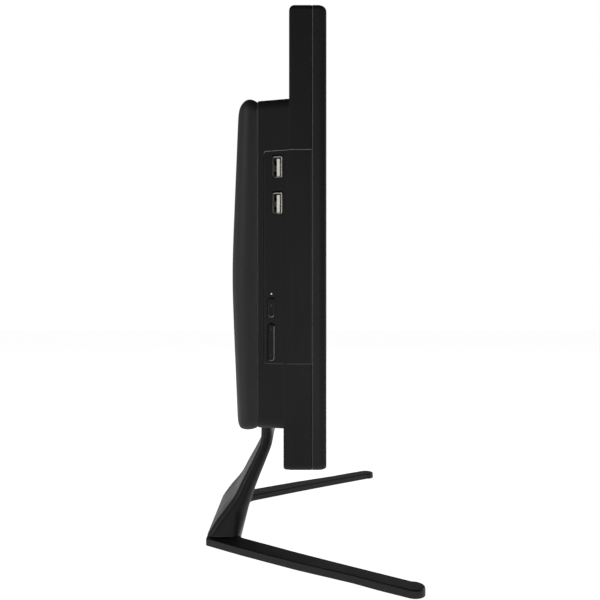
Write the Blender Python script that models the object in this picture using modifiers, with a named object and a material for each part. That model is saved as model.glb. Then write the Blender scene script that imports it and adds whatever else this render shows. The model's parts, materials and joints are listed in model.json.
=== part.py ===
"""An all-in-one desktop computer on a splayed two-legged stand, as an assembly of separate pieces.

The frame: +Z is up, the screen faces -Y, and X = 0 is the plane of symmetry of the screen and stand.
The origin is on the table, under the centre of the stand's footprint. All the sizes below are in millimetres.
"""

import math

import bmesh
import bpy
from mathutils import Matrix, Vector

MM = 0.001

# ---------------------------------------------------------------- driving dimensions, in millimetres
HALF_W = 236.0  # half the width of the screen housing
Z_LOW, Z_TOP = 104.7, 381.4  # the screen housing's lower and upper edges
Y_FRONT = -9.9  # front face of the bezel
Y_SEAM = -1.25  # the split between bezel and rear housing
Y_BACK_UP = 12.3  # back of the thin upper part of the housing
Y_BACK_LOW = 15.6  # back of the thicker lower part
SCREEN_W, SCREEN_H = 432.0, 239.8  # visible area, 19.5 inch at 16:9
SCREEN_Z0 = 126.2
BULGE_Z0, BULGE_Z1 = 128.5, 327.0  # the box at the back that holds the electronics
BULGE_X0, BULGE_X1 = 235.0, 230.0  # its half width where it leaves the screen, and at its rear seam
Y_COVER = 31.5  # the split between rear housing and rear cover
WALL = 2.5
GAP = 0.3
COVER_WALL = 2.2
COVER_BACK = 43.9  # the rear cover's back face at its upper and lower edges
COVER_RIDGE = 4.4  # how far its shallow ridge stands out beyond that
RIDGE_Z = 222.0
PIN_Y, PIN_Z = 38.0, 143.0  # axis of the tilt hinge
BASE_Z0, BASE_Z1 = 0.4, 6.3  # the stand's base plate
FAN_X, FAN_Z = 95.0, 240.0  # axis of the blower
# The side panel leans in towards the back with the side of the bulge.
LEAN = math.atan2(BULGE_X0 - BULGE_X1, Y_COVER - Y_BACK_UP)
PANEL_Z0, PANEL_Z1 = 167.6, 295.2
PANEL_REAR = 15.3  # length of the panel's leaning part, along the lean
PANEL_T = 2.0
Y_CENTRE = 1.4  # the middle of the footprint in the lengths above, which ends up at Y = 0

# ---------------------------------------------------------------- a clean scene and two collections
for old in list(bpy.data.objects):
    bpy.data.objects.remove(old, do_unlink=True)

PARTS = bpy.data.collections.new("all_in_one_pc")
CUTTERS = bpy.data.collections.new("cutters")
bpy.context.scene.collection.children.link(PARTS)
bpy.context.scene.collection.children.link(CUTTERS)

# ---------------------------------------------------------------- materials
PALETTE = {
    "black_plastic": ((0.020, 0.020, 0.021), 0.50, 0.0),
    "cover_plastic": ((0.026, 0.026, 0.027), 0.55, 0.0),
    "stand_paint": ((0.015, 0.015, 0.016), 0.38, 0.0),
    "rubber": ((0.02, 0.02, 0.02), 0.9, 0.0),
    "screen_glass": ((0.01, 0.01, 0.012), 0.2, 0.0),
    "backlight": ((0.45, 0.45, 0.46), 0.5, 0.0),
    "steel": ((0.55, 0.55, 0.56), 0.35, 1.0),
    "nickel": ((0.72, 0.70, 0.66), 0.25, 1.0),
    "white_plastic": ((0.85, 0.85, 0.82), 0.4, 0.0),
    "pcb": ((0.02, 0.12, 0.05), 0.5, 0.0),
    "copper": ((0.72, 0.38, 0.22), 0.3, 1.0),
    "aluminium": ((0.75, 0.75, 0.76), 0.35, 1.0),
    "chip": ((0.03, 0.03, 0.03), 0.5, 0.0),
    "led": ((0.9, 0.93, 1.0), 0.3, 0.0),
}
MATERIALS = {}
for slot_name, (rgb, rough, metal) in PALETTE.items():
    mat = bpy.data.materials.new(slot_name)
    mat.use_nodes = True
    bsdf = mat.node_tree.nodes["Principled BSDF"]
    bsdf.inputs["Base Color"].default_value = (*rgb, 1.0)
    bsdf.inputs["Roughness"].default_value = rough
    bsdf.inputs["Metallic"].default_value = metal
    MATERIALS[slot_name] = mat


# ---------------------------------------------------------------- helpers
def keep(obj, name, material=None, cutter=False):
    """Names an object, moves it to its collection and gives it its material."""
    obj.name = name
    obj.data.name = name
    for c in list(obj.users_collection):
        c.objects.unlink(obj)
    (CUTTERS if cutter else PARTS).objects.link(obj)
    if cutter:
        obj.hide_render = True
        obj.display_type = "WIRE"
    if material:
        obj.data.materials.clear()
        obj.data.materials.append(MATERIALS[material])
    return obj


def box(name, x, y, z, material=None, cutter=False, rot=None):
    """A box between (low, high) pairs, with its scale applied."""
    bpy.ops.mesh.primitive_cube_add(size=1.0)
    obj = bpy.context.object
    size = [(b - a) * MM for a, b in (x, y, z)]
    centre = [(a + b) / 2 * MM for a, b in (x, y, z)]
    obj.data.transform(Matrix.LocRotScale(Vector(centre), None, Vector(size)))
    if rot is not None:
        obj.data.transform(rot)
    return keep(obj, name, material, cutter)


def cyl(name, p0, p1, r, n=24, r2=None, material=None, cutter=False, rot=None):
    """A cylinder or a cone frustum between two points."""
    a, b = Vector(p0) * MM, Vector(p1) * MM
    bpy.ops.mesh.primitive_cone_add(
        vertices=n,
        radius1=r * MM,
        radius2=(r if r2 is None else r2) * MM,
        depth=(b - a).length,
        end_fill_type="NGON",
    )
    obj = bpy.context.object
    turn = (b - a).to_track_quat("Z", "Y")
    obj.data.transform(Matrix.LocRotScale((a + b) / 2, turn, None))
    if rot is not None:
        obj.data.transform(rot)
    return keep(obj, name, material, cutter)


def prism(name, outline, axis, lo, hi, material=None, cutter=False, rot=None):
    """A flat outline, as a 2D curve extruded along X, Y or Z. Its points are (y, z), (x, z) or (x, y)."""
    data = bpy.data.curves.new(name, "CURVE")
    data.dimensions = "2D"
    data.fill_mode = "BOTH"
    data.extrude = (hi - lo) / 2 * MM
    spline = data.splines.new("POLY")
    spline.points.add(len(outline) - 1)
    for point, (u, v) in zip(spline.points, outline):
        point.co = (u * MM, v * MM, 0, 1)
    spline.use_cyclic_u = True
    curve = bpy.data.objects.new(name + "_curve", data)
    bpy.context.scene.collection.objects.link(curve)
    bpy.context.view_layer.update()
    graph = bpy.context.evaluated_depsgraph_get()
    mesh = bpy.data.meshes.new_from_object(curve.evaluated_get(graph))
    bpy.data.objects.remove(curve, do_unlink=True)
    middle = (lo + hi) / 2 * MM
    turn = {
        "X": Matrix(((0, 0, 1, middle), (1, 0, 0, 0), (0, 1, 0, 0), (0, 0, 0, 1))),
        "Y": Matrix(((1, 0, 0, 0), (0, 0, 1, middle), (0, 1, 0, 0), (0, 0, 0, 1))),
        "Z": Matrix.Translation((0, 0, middle)),
    }[axis]
    mesh.transform(turn)
    weld(mesh)
    obj = bpy.data.objects.new(name, mesh)
    if rot is not None:
        obj.data.transform(rot)
    return keep(obj, name, material, cutter)


def weld(mesh):
    bm = bmesh.new()
    bm.from_mesh(mesh)
    bmesh.ops.remove_doubles(bm, verts=bm.verts, dist=1e-6)
    bmesh.ops.recalc_face_normals(bm, faces=bm.faces)
    bm.to_mesh(mesh)
    bm.free()


def loft(name, rings, material=None, cutter=False, rot=None, caps=True):
    """Skins a list of rings, each with the same number of points, in millimetres, and closes the two ends."""
    bm = bmesh.new()
    loops = [[bm.verts.new(Vector(p) * MM) for p in ring] for ring in rings]
    n = len(loops[0])
    for a, b in zip(loops, loops[1:]):
        for i in range(n):
            bm.faces.new((a[i], a[(i + 1) % n], b[(i + 1) % n], b[i]))
    if caps:
        bm.faces.new(loops[0])
        bm.faces.new(loops[-1])
    bmesh.ops.recalc_face_normals(bm, faces=bm.faces)
    mesh = bpy.data.meshes.new(name)
    bm.to_mesh(mesh)
    bm.free()
    obj = bpy.data.objects.new(name, mesh)
    if rot is not None:
        obj.data.transform(rot)
    return keep(obj, name, material, cutter)


def round_rect(x0, x1, z0, z1, r, per_corner=4):
    """Corner points of a rounded rectangle, anticlockwise from the lower right, as (u, v)."""
    points = []
    for cx, cz, start in (
        (x1 - r, z0 + r, -90),
        (x1 - r, z1 - r, 0),
        (x0 + r, z1 - r, 90),
        (x0 + r, z0 + r, 180),
    ):
        for k in range(per_corner):
            t = math.radians(start + 90 * k / (per_corner - 1))
            points.append((cx + r * math.cos(t), cz + r * math.sin(t)))
    return points


def stadium(cu, cv, half_u, half_v, n=6):
    """An upright slot outline with round ends, as (u, v)."""
    points = []
    for sign, start in ((1, 0), (-1, 180)):
        for k in range(n + 1):
            t = math.radians(start + 180 * k / n)
            points.append(
                (cu + half_u * math.cos(t), cv + sign * (half_v - half_u) + half_u * math.sin(t))
            )
    return points


def boolean(obj, other, operation="DIFFERENCE"):
    mod = obj.modifiers.new(operation.lower() + "_" + other.name, "BOOLEAN")
    mod.operation = operation
    mod.solver = "EXACT"
    mod.object = other
    return obj


def boolean_all(obj, label, others, operation="DIFFERENCE"):
    """One Boolean with a collection of cutters, or of pieces to add."""
    group = bpy.data.collections.new(label)
    CUTTERS.children.link(group)
    for other in others:
        CUTTERS.objects.unlink(other)
        group.objects.link(other)
    mod = obj.modifiers.new(label, "BOOLEAN")
    mod.operation = operation
    mod.solver = "EXACT"
    mod.operand_type = "COLLECTION"
    mod.collection = group
    return obj


def bevel(obj, width, segments=1, angle=40):
    mod = obj.modifiers.new("bevel", "BEVEL")
    mod.width = width * MM
    mod.segments = segments
    mod.limit_method = "ANGLE"
    mod.angle_limit = math.radians(angle)
    mod.harden_normals = False
    return obj


# ---------------------------------------------------------------- bezel, screen and chassis
def bezel_ring(inset, y):
    return [
        (u, y, v)
        for u, v in round_rect(
            -HALF_W + inset, HALF_W - inset, Z_LOW + inset, Z_TOP - inset, 3.0
        )
    ]


front_bezel = loft(
    "front_bezel",
    [
        bezel_ring(0.35, Y_SEAM - GAP),
        bezel_ring(0.0, Y_SEAM - GAP - 0.5),
        bezel_ring(0.0, Y_FRONT + 5.0),
        bezel_ring(0.3, Y_FRONT + 2.8),
        bezel_ring(1.2, Y_FRONT + 0.9),
        bezel_ring(2.6, Y_FRONT),
    ],
    "black_plastic",
)
boolean_all(
    front_bezel,
    "bezel_cuts",
    [
        box(
            "bezel_window",
            (-SCREEN_W / 2, SCREEN_W / 2),
            (-20, 10),
            (SCREEN_Z0, SCREEN_Z0 + SCREEN_H),
            cutter=True,
        ),
        cyl("webcam_hole", (0, -20, 375.2), (0, 5, 375.2), 2.2, 16, cutter=True),
    ],
)
boolean(
    front_bezel,
    box(
        "bezel_pocket",
        (-HALF_W + WALL, HALF_W - WALL),
        (Y_FRONT + 2.2, 10),
        (Z_LOW + WALL, Z_TOP - WALL),
        cutter=True,
    ),
)

box("lcd_glass", (-221, 221), (-6.9, -5.8), (112, 371), "screen_glass")
backlight_unit = box("backlight_unit", (-223, 223), (-5.5, 1.6), (110.5, 371.5), "backlight")
bevel(backlight_unit, 0.8)

webcam_board = box("webcam_board", (-31, 31), (-3.4, -2.2), (372.2, 378.2), "pcb")
webcam_lens = cyl(
    "webcam_lens", (0, -8.8, 375.2), (0, -3.7, 375.2), 1.85, 16, material="screen_glass"
)

chassis_plate = box("chassis_plate", (-222, 222), (2.0, 3.2), (112, 370), "steel")
cover_screw_points = [(sx * 180.0, z) for z in (150.0, 306.0) for sx in (-1, 1)]
boolean_all(
    chassis_plate,
    "chassis_posts",
    [
        cyl(f"board_post_{i}", (x, 2.6, z), (x, 15.1, z), 2.4, 8, cutter=True)
        for i, (x, z) in enumerate([(-144, 140), (14, 140), (-144, 298), (14, 298)])
    ]
    + [
        cyl(f"cover_post_{i}", (x, 2.6, z), (x, 36.0, z), 3.6, 12, cutter=True)
        for i, (x, z) in enumerate(cover_screw_points)
    ],
    "UNION",
)
boolean_all(
    chassis_plate,
    "chassis_holes",
    [
        cyl(f"cover_post_bore_{i}", (x, 22.0, z), (x, 40.0, z), 1.8, 12, cutter=True)
        for i, (x, z) in enumerate(cover_screw_points)
    ]
    + [
        box("chassis_cable_slot", (-205, -165), (0, 6), (200, 240), cutter=True),
        box("chassis_weight_cut", (60, 140), (0, 6), (150, 190), cutter=True),
    ],
)

# ---------------------------------------------------------------- rear housing
tray = prism(
    "tray_outline_cutter",
    round_rect(-HALF_W, HALF_W, Z_LOW, Z_TOP, 3.0),
    "Y",
    -20,
    40,
    cutter=True,
)
rear_housing = prism(
    "rear_housing",
    [
        (Y_SEAM, Z_LOW + 0.35),
        (Y_SEAM + 0.5, Z_LOW),
        (Y_BACK_LOW - 4.2, Z_LOW),
        (Y_BACK_LOW - 1.3, Z_LOW + 0.9),
        (Y_BACK_LOW, Z_LOW + 2.6),
        (Y_BACK_LOW, 205),
        (Y_BACK_UP, 225),
        (Y_BACK_UP, Z_TOP - 3.6),
        (Y_BACK_UP - 0.8, Z_TOP - 2.2),
        (Y_BACK_UP - 2.0, Z_TOP - 0.9),
        (Y_BACK_UP - 4.2, Z_TOP),
        (Y_SEAM + 0.5, Z_TOP),
        (Y_SEAM, Z_TOP - 0.35),
    ],
    "X",
    -HALF_W - 1,
    HALF_W + 1,
    "black_plastic",
)
boolean(rear_housing, tray, "INTERSECT")


def bulge_ring(half, y, inset=0.0, r=6.0, per_corner=5):
    return [
        (u, y, v)
        for u, v in round_rect(
            -half + inset, half - inset, BULGE_Z0 + inset, BULGE_Z1 - inset, r, per_corner
        )
    ]


slope = (BULGE_X0 - BULGE_X1) / (Y_COVER - Y_BACK_UP)
bulge = loft(
    "bulge_body",
    [
        bulge_ring(BULGE_X0, 6.0),
        bulge_ring(BULGE_X0, Y_BACK_UP + 0.6),
        bulge_ring(BULGE_X1 + slope * 0.8, Y_COVER - GAP - 0.5),
        bulge_ring(BULGE_X1, Y_COVER - GAP, 0.45),
    ],
    cutter=True,
)
boolean(rear_housing, bulge, "UNION")
boolean_all(
    rear_housing,
    "housing_hollow",
    [
        box(
            "tray_hollow_low",
            (-HALF_W + WALL, HALF_W - WALL),
            (-20, Y_BACK_LOW - WALL),
            (Z_LOW + WALL, 200),
            cutter=True,
        ),
        box(
            "tray_hollow_high",
            (-HALF_W + WALL, HALF_W - WALL),
            (-20, Y_BACK_UP - WALL),
            (190, Z_TOP - WALL),
            cutter=True,
        ),
        loft(
            "bulge_hollow",
            [
                bulge_ring(BULGE_X0 - WALL, 5.0, 0, 4.0, 3),
                bulge_ring(BULGE_X0 - WALL, 9.0, 0, 4.0, 3),
                bulge_ring(BULGE_X1 - WALL, 50.0, 0, 4.0, 3),
            ],
            cutter=True,
        ),
    ],
)
# The hollow above runs the full height of the bulge, so its own rings are drawn in by the wall here.
hollow = bpy.data.objects["bulge_hollow"]
for vertex in hollow.data.vertices:
    z = vertex.co.z / MM
    low, high = BULGE_Z0 + WALL, BULGE_Z1 - WALL
    share = (z - BULGE_Z0) / (BULGE_Z1 - BULGE_Z0)
    vertex.co.z = (low + share * (high - low)) * MM

# Everything on the side panel is laid out along the lean: x' goes into the case, y' runs to the back.
LEAN_FRAME = Matrix.Translation((-BULGE_X0 * MM, Y_BACK_UP * MM, 0)) @ Matrix.Rotation(
    -LEAN, 4, "Z"
)
panel_end_y = Y_BACK_UP + PANEL_REAR * math.cos(LEAN)

PORTS = {  # sockets on the bulge's underside: centre x, half width, height from y = 17.3, depth
    "hdmi_port": (-118.0, 7.6, 5.6, 11.0),
    "lan_port": (-92.0, 8.0, 11.6, 15.0),
    "rear_usb_port_1": (-66.0, 6.55, 5.7, 13.5),
    "rear_usb_port_2": (-47.5, 6.55, 5.7, 13.5),
}
PORT_Y = 17.3
DC_X, AUDIO_X = -141.0, -28.0
SPEAKER_SLOTS = [sx * (152.0 + 6.0 * k) for sx in (-1, 1) for k in range(8)]
boolean_all(
    rear_housing,
    "housing_openings",
    [
        box(
            "panel_opening",
            (-HALF_W - 5, -224.0),
            (-20, panel_end_y),
            (PANEL_Z0, PANEL_Z1),
            cutter=True,
        )
    ]
    + [
        box(
            name + "_opening",
            (x - hw - GAP, x + hw + GAP),
            (PORT_Y - GAP, PORT_Y + h + GAP),
            (BULGE_Z0 - 3, BULGE_Z0 + 5),
            cutter=True,
        )
        for name, (x, hw, h, d) in PORTS.items()
    ]
    + [
        cyl("dc_opening", (DC_X, 22.6, 126), (DC_X, 22.6, 135), 4.9, 16, cutter=True),
        cyl("audio_opening", (AUDIO_X, 20.6, 126), (AUDIO_X, 20.6, 135), 3.4, 16, cutter=True),
    ]
    + [
        box(f"speaker_slot_{i}", (x - 1, x + 1), (3.5, 12.0), (100, 108.5), cutter=True)
        for i, x in enumerate(SPEAKER_SLOTS)
    ],
)

# ---------------------------------------------------------------- rear cover
COVER_R = 9.0


def hump(z):
    """The shallow ridge across the back: two slopes that meet in a soft crest."""
    t = (z - RIDGE_Z) / 100.0
    return COVER_RIDGE * max(0.0, 1.0 - (math.sqrt(t * t + 0.03) - 0.1732))


def cover_ring(out_x, out_z, y, share):
    """A ring of the cover. Its two long sides carry points up their height, so that they can follow the ridge."""
    x1 = BULGE_X1 + out_x
    z0, z1 = BULGE_Z0 - out_z, BULGE_Z1 + out_z
    r = max(COVER_R + (out_x + out_z) / 2, 3.0)
    right = []
    for k in range(5):
        t = math.radians(-90 + 90 * k / 4)
        right.append((x1 - r + r * math.cos(t), z0 + r + r * math.sin(t)))
    for k in range(1, 8):
        right.append((x1, z0 + r + (z1 - z0 - 2 * r) * k / 8))
    for k in range(5):
        t = math.radians(90 * k / 4)
        right.append((x1 - r + r * math.cos(t), z1 - r + r * math.sin(t)))
    return [(x, y + share * hump(z), z) for x, z in right] + [
        (-x, y + share * hump(z), z) for x, z in reversed(right)
    ]


# Each step of the section: how far it stands out from the bulge in X and in Z, its depth, and its share of the ridge.
COVER_STEPS = [
    (-0.45, -0.45, 31.5, 0.0),
    (-0.05, 0.0, 32.0, 0.0),
    (-0.3, 1.4, 34.2, 0.1),
    (-1.1, 2.0, 36.6, 0.25),
    (-2.9, 1.4, 39.0, 0.45),
    (-6.5, -0.9, 41.4, 0.7),
    (-12.5, -4.8, 43.1, 0.9),
    (-21.0, -11.0, COVER_BACK, 1.0),
]
# The hollow inside it, by the same steps, a wall's thickness further in.
HOLLOW_STEPS = [
    (-2.7, -2.7, 20.0, 0.0),
    (-2.5, -0.9, 34.2, 0.1),
    (-3.5, -0.4, 36.4, 0.25),
    (-5.6, -1.2, 38.0, 0.45),
    (-9.0, -3.6, 39.6, 0.7),
    (-14.5, -7.4, 41.0, 0.9),
    (-23.0, -13.4, COVER_BACK - COVER_WALL, 1.0),
]


def cover_body(name, steps):
    """A closed body through the steps. Its two ends are filled by rungs straight across, between points at one height."""
    bm = bmesh.new()
    loops = [[bm.verts.new(Vector(p) * MM) for p in cover_ring(*step)] for step in steps]
    count = len(loops[0])
    for a, b in zip(loops, loops[1:]):
        for i in range(count):
            bm.faces.new((a[i], a[(i + 1) % count], b[(i + 1) % count], b[i]))
    for end in (loops[0], loops[-1]):
        for i in range(count // 2 - 1):
            bm.faces.new((end[i], end[i + 1], end[count - 2 - i], end[count - 1 - i]))
    bmesh.ops.recalc_face_normals(bm, faces=bm.faces)
    mesh = bpy.data.meshes.new(name)
    bm.to_mesh(mesh)
    bm.free()
    return bpy.data.objects.new(name, mesh)


rear_cover = keep(cover_body("rear_cover", COVER_STEPS), "rear_cover", "cover_plastic")
boolean(rear_cover, keep(cover_body("cover_hollow", HOLLOW_STEPS), "cover_hollow", cutter=True))

NOTCH_X, NOTCH_Z = 39.0, 159.0
VENT_X = [-154.0 + 11.0 * k for k in range(29)]
INTAKE = [(FAN_X - 28.0 + 8.0 * k) for k in range(8)]
boolean_all(
    rear_cover,
    "cover_openings",
    [
        box("stand_notch", (-NOTCH_X, NOTCH_X), (25, 60), (110, NOTCH_Z), cutter=True)
    ]
    + [
        box(f"outlet_slot_{i}", (x - 1.5, x + 1.5), (25, 60), (288, 304), cutter=True)
        for i, x in enumerate(VENT_X)
    ]
    + [
        box(f"intake_slot_{i}", (x - 1.5, x + 1.5), (25, 60), (224, 256), cutter=True)
        for i, x in enumerate(INTAKE)
    ]
    + [
        cyl(f"cover_hole_{i}", (x, 25, z), (x, 60, z), 1.8, 12, cutter=True)
        for i, (x, z) in enumerate(cover_screw_points)
    ],
)

for i, (x, z) in enumerate(cover_screw_points):
    y = COVER_BACK + hump(z) + 0.5
    screw = cyl(
        f"cover_screw_{i + 1}", (x, y, z), (x, y + 1.7, z), 2.9, 16, 2.2, material="steel"
    )
    boolean(screw, cyl(f"cover_shank_{i}", (x, 26, z), (x, y + 0.8, z), 1.4, 12, cutter=True), "UNION")

# The bay lines the notch on three sides, as one bent strip.
prism(
    "stand_bay",
    [
        (NOTCH_X + 0.4, 138.0),
        (NOTCH_X + 1.9, 138.0),
        (NOTCH_X + 1.9, NOTCH_Z + 1.9),
        (-NOTCH_X - 1.9, NOTCH_Z + 1.9),
        (-NOTCH_X - 1.9, 138.0),
        (-NOTCH_X - 0.4, 138.0),
        (-NOTCH_X - 0.4, NOTCH_Z + 0.4),
        (NOTCH_X + 0.4, NOTCH_Z + 0.4),
    ],
    "Y",
    31.0,
    40.4,
    "black_plastic",
)

# ---------------------------------------------------------------- side panel, its ports and its buttons
USB_Y, USB_Z = 7.3, (285.3, 263.7)
BUTTON_Y, BUTTON_Z, BUTTON_HALF = 11.0, 201.4, (1.95, 5.85)
ROCKER_Z, ROCKER_HALF = 180.7, (1.95, 11.25)
LED_Y, LED_Z = 10.95, 209.6


def panel_outline():
    """The panel from above: the part on the screen's side, the small step, then the leaning part."""
    c, s = math.cos(LEAN), math.sin(LEAN)

    def lean(x, y):
        return (-BULGE_X0 + x * c + y * s, Y_BACK_UP - x * s + y * c)

    return [
        (-HALF_W, Y_SEAM + 0.2),
        (-HALF_W, Y_BACK_UP - 1.0),
        lean(0.0, 0.0),
        lean(0.0, PANEL_REAR - 0.3),
        lean(PANEL_T, PANEL_REAR - 0.3),
        lean(PANEL_T, 0.0),
        (-HALF_W + PANEL_T, Y_BACK_UP - 2.4),
        (-HALF_W + PANEL_T, Y_SEAM + 0.2),
    ]


side_panel = prism(
    "side_panel", panel_outline(), "Z", PANEL_Z0 + GAP, PANEL_Z1 - GAP, "black_plastic"
)


def in_panel(name, outline, x0, x1, material=None, cutter=False):
    """An outline in the panel's own plane, as (y', z), extruded into the case from x0 to x1."""
    return prism(name, outline, "X", x0, x1, material, cutter, LEAN_FRAME)


boolean_all(
    side_panel,
    "panel_openings",
    [
        in_panel(
            f"usb_opening_{i}",
            round_rect(USB_Y - 3.2, USB_Y + 3.2, z - 6.95, z + 6.95, 1.0, 3),
            -4,
            6,
            cutter=True,
        )
        for i, z in enumerate(USB_Z)
    ]
    + [
        in_panel(
            "button_opening",
            stadium(BUTTON_Y, BUTTON_Z, BUTTON_HALF[0] + 0.35, BUTTON_HALF[1] + 0.35),
            -4,
            6,
            cutter=True,
        ),
        in_panel(
            "rocker_opening",
            stadium(BUTTON_Y, ROCKER_Z, ROCKER_HALF[0] + 0.35, ROCKER_HALF[1] + 0.35),
            -4,
            6,
            cutter=True,
        ),
        cyl(
            "led_opening",
            (-4, LED_Y, LED_Z),
            (6, LED_Y, LED_Z),
            1.15,
            12,
            cutter=True,
            rot=LEAN_FRAME,
        ),
    ],
)

for label, z in zip(("upper", "lower"), USB_Z):
    shell_outer = in_panel(
        f"usb_shell_{label}",
        round_rect(USB_Y - 2.85, USB_Y + 2.85, z - 6.55, z + 6.55, 0.7, 3),
        0.3,
        14.0,
        "nickel",
    )
    boolean(
        shell_outer,
        in_panel(
            f"usb_shell_cavity_{label}",
            round_rect(USB_Y - 2.5, USB_Y + 2.5, z - 6.2, z + 6.2, 0.4, 3),
            -2,
            13.6,
            cutter=True,
        ),
    )
    tongue = in_panel(
        f"usb_tongue_{label}",
        [(6.0 - 0.15, z - 5.75), (8.0 - 0.15, z - 5.75), (8.0 - 0.15, z + 5.75), (6.0 - 0.15, z + 5.75)],
        1.3,
        12.0,
        "white_plastic",
    )
    boolean(
        tongue,
        in_panel(
            f"usb_tongue_root_{label}",
            [(USB_Y - 2.1, z - 5.8), (USB_Y + 2.1, z - 5.8), (USB_Y + 2.1, z + 5.8), (USB_Y - 2.1, z + 5.8)],
            10.5,
            13.3,
            cutter=True,
        ),
        "UNION",
    )

io_board = box("io_board", (3.0, 24.0), (2.45, 4.05), (170.0, 293.0), "pcb", rot=LEAN_FRAME)

power_button = in_panel(
    "power_button",
    stadium(BUTTON_Y, BUTTON_Z, *BUTTON_HALF),
    -0.35,
    4.8,
    "black_plastic",
)
boolean(
    power_button,
    in_panel(
        "power_button_flange",
        stadium(BUTTON_Y, BUTTON_Z, BUTTON_HALF[0] + 1.2, BUTTON_HALF[1] + 1.2),
        2.4,
        3.4,
        cutter=True,
    ),
    "UNION",
)
power_switch = box(
    "power_switch", (8.0, 12.0), (4.4, 13.6), (BUTTON_Z - 3.2, BUTTON_Z + 3.2), "chip", rot=LEAN_FRAME
)
boolean(
    power_switch,
    cyl(
        "power_switch_stem",
        (5.9, BUTTON_Y, BUTTON_Z),
        (9.0, BUTTON_Y, BUTTON_Z),
        1.4,
        12,
        cutter=True,
        rot=LEAN_FRAME,
    ),
    "UNION",
)

volume_rocker = in_panel(
    "volume_rocker",
    stadium(BUTTON_Y, ROCKER_Z, *ROCKER_HALF),
    -0.35,
    4.4,
    "black_plastic",
)
boolean(
    volume_rocker,
    in_panel(
        "rocker_flange",
        stadium(BUTTON_Y, ROCKER_Z, ROCKER_HALF[0] + 1.1, ROCKER_HALF[1] + 1.0),
        2.8,
        3.8,
        cutter=True,
    ),
    "UNION",
)
rocker_switch = box(
    "rocker_switch", (8.0, 11.5), (4.4, 13.6), (ROCKER_Z - 10.5, ROCKER_Z + 10.5), "chip", rot=LEAN_FRAME
)
boolean_all(
    rocker_switch,
    "rocker_switch_stems",
    [
        cyl(
            f"rocker_stem_{i}",
            (5.3, BUTTON_Y, ROCKER_Z + dz),
            (9.0, BUTTON_Y, ROCKER_Z + dz),
            1.3,
            12,
            cutter=True,
            rot=LEAN_FRAME,
        )
        for i, dz in enumerate((-7.5, 7.5))
    ],
    "UNION",
)

status_led = cyl(
    "status_led",
    (-0.05, LED_Y, LED_Z),
    (6.0, LED_Y, LED_Z),
    0.75,
    12,
    material="led",
    rot=LEAN_FRAME,
)
boolean(
    status_led,
    box("led_body", (4.5, 7.5), (4.4, 12.6), (LED_Z - 1.6, LED_Z + 1.6), cutter=True, rot=LEAN_FRAME),
    "UNION",
)

# ---------------------------------------------------------------- electronics
motherboard = box("motherboard", (-152, 22), (15.4, 17.0), (133.0, 304.0), "pcb")
box("cpu", (-77, -43), (17.3, 19.3), (245, 279), "chip")
heatsink_plate = box("heatsink_plate", (-88, -32), (19.6, 22.6), (234, 290), "copper")

pipe_data = bpy.data.curves.new("heat_pipe", "CURVE")
pipe_data.dimensions = "3D"
pipe_data.bevel_depth = 2.6 * MM
pipe_data.bevel_resolution = 2
pipe_data.use_fill_caps = True
CORNERS = [(-84, 25.6, 262), (25, 25.6, 262), (52, 33.6, 293), (128, 33.6, 293)]


def pipe_points(corners, steps=6, reach=12.0):
    """Straight runs whose corners are replaced by short parabolic bends."""
    points = [Vector(corners[0])]
    for before, corner, after in zip(corners, corners[1:], corners[2:]):
        p0, p1, p2 = Vector(before), Vector(corner), Vector(after)
        a = p1 + (p0 - p1).normalized() * reach
        b = p1 + (p2 - p1).normalized() * reach
        for k in range(steps + 1):
            t = k / steps
            points.append(a * (1 - t) ** 2 + p1 * 2 * t * (1 - t) + b * t * t)
    points.append(Vector(corners[-1]))
    return points


route = pipe_points(CORNERS)
spline = pipe_data.splines.new("POLY")
spline.points.add(len(route) - 1)
for point, p in zip(spline.points, route):
    point.co = (*(p * MM), 1)
heat_pipe = keep(bpy.data.objects.new("heat_pipe", pipe_data), "heat_pipe", "copper")

fins = box("heatsink_fins", (65, 129), (16.0, 30.6), (281.0, 306.0), "aluminium")
boolean_all(
    fins,
    "fin_gaps",
    [
        box(f"fin_gap_{i}", (67.6 + 5.0 * i, 70.4 + 5.0 * i), (17.5, 40), (270, 320), cutter=True)
        for i in range(12)
    ],
)

fan_housing = box(
    "fan_housing", (FAN_X - 38, FAN_X + 38), (16.0, 32.0), (FAN_Z - 38, FAN_Z + 38.0), "black_plastic"
)
bevel(fan_housing, 6.0)
boolean(
    fan_housing,
    cyl("fan_round", (FAN_X, 17.5, FAN_Z), (FAN_X, 30.5, FAN_Z), 33.5, 32, cutter=True),
)
boolean(
    fan_housing,
    box("fan_outlet", (FAN_X - 25.3, FAN_X + 25.3), (18.3, 29.7), (FAN_Z + 14.3, FAN_Z + 45), cutter=True),
)
boolean(
    fan_housing,
    cyl("fan_inlet", (FAN_X, 28.5, FAN_Z), (FAN_X, 36, FAN_Z), 24.0, 32, cutter=True),
)
boolean(
    fan_housing,
    cyl("fan_spindle", (FAN_X, 16.8, FAN_Z), (FAN_X, 22.0, FAN_Z), 2.0, 12, cutter=True),
    "UNION",
)
fan_rotor = cyl(
    "fan_rotor", (FAN_X, 18.6, FAN_Z), (FAN_X, 29.4, FAN_Z), 13.0, 24, material="chip"
)
blades = []
for k in range(13):
    turn = (
        Matrix.Translation((FAN_X * MM, 0, FAN_Z * MM))
        @ Matrix.Rotation(2 * math.pi * k / 13, 4, "Y")
        @ Matrix.Translation((12.0 * MM, 0, 0))
        @ Matrix.Rotation(math.radians(24), 4, "Y")
    )
    blades.append(
        box(f"fan_blade_{k}", (0, 19.5), (19.0, 29.0), (-0.6, 0.6), cutter=True, rot=turn)
    )
boolean_all(fan_rotor, "fan_blades", blades, "UNION")
boolean(
    fan_rotor,
    cyl("fan_bore", (FAN_X, 15, FAN_Z), (FAN_X, 23.2, FAN_Z), 2.5, 12, cutter=True),
)

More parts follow.
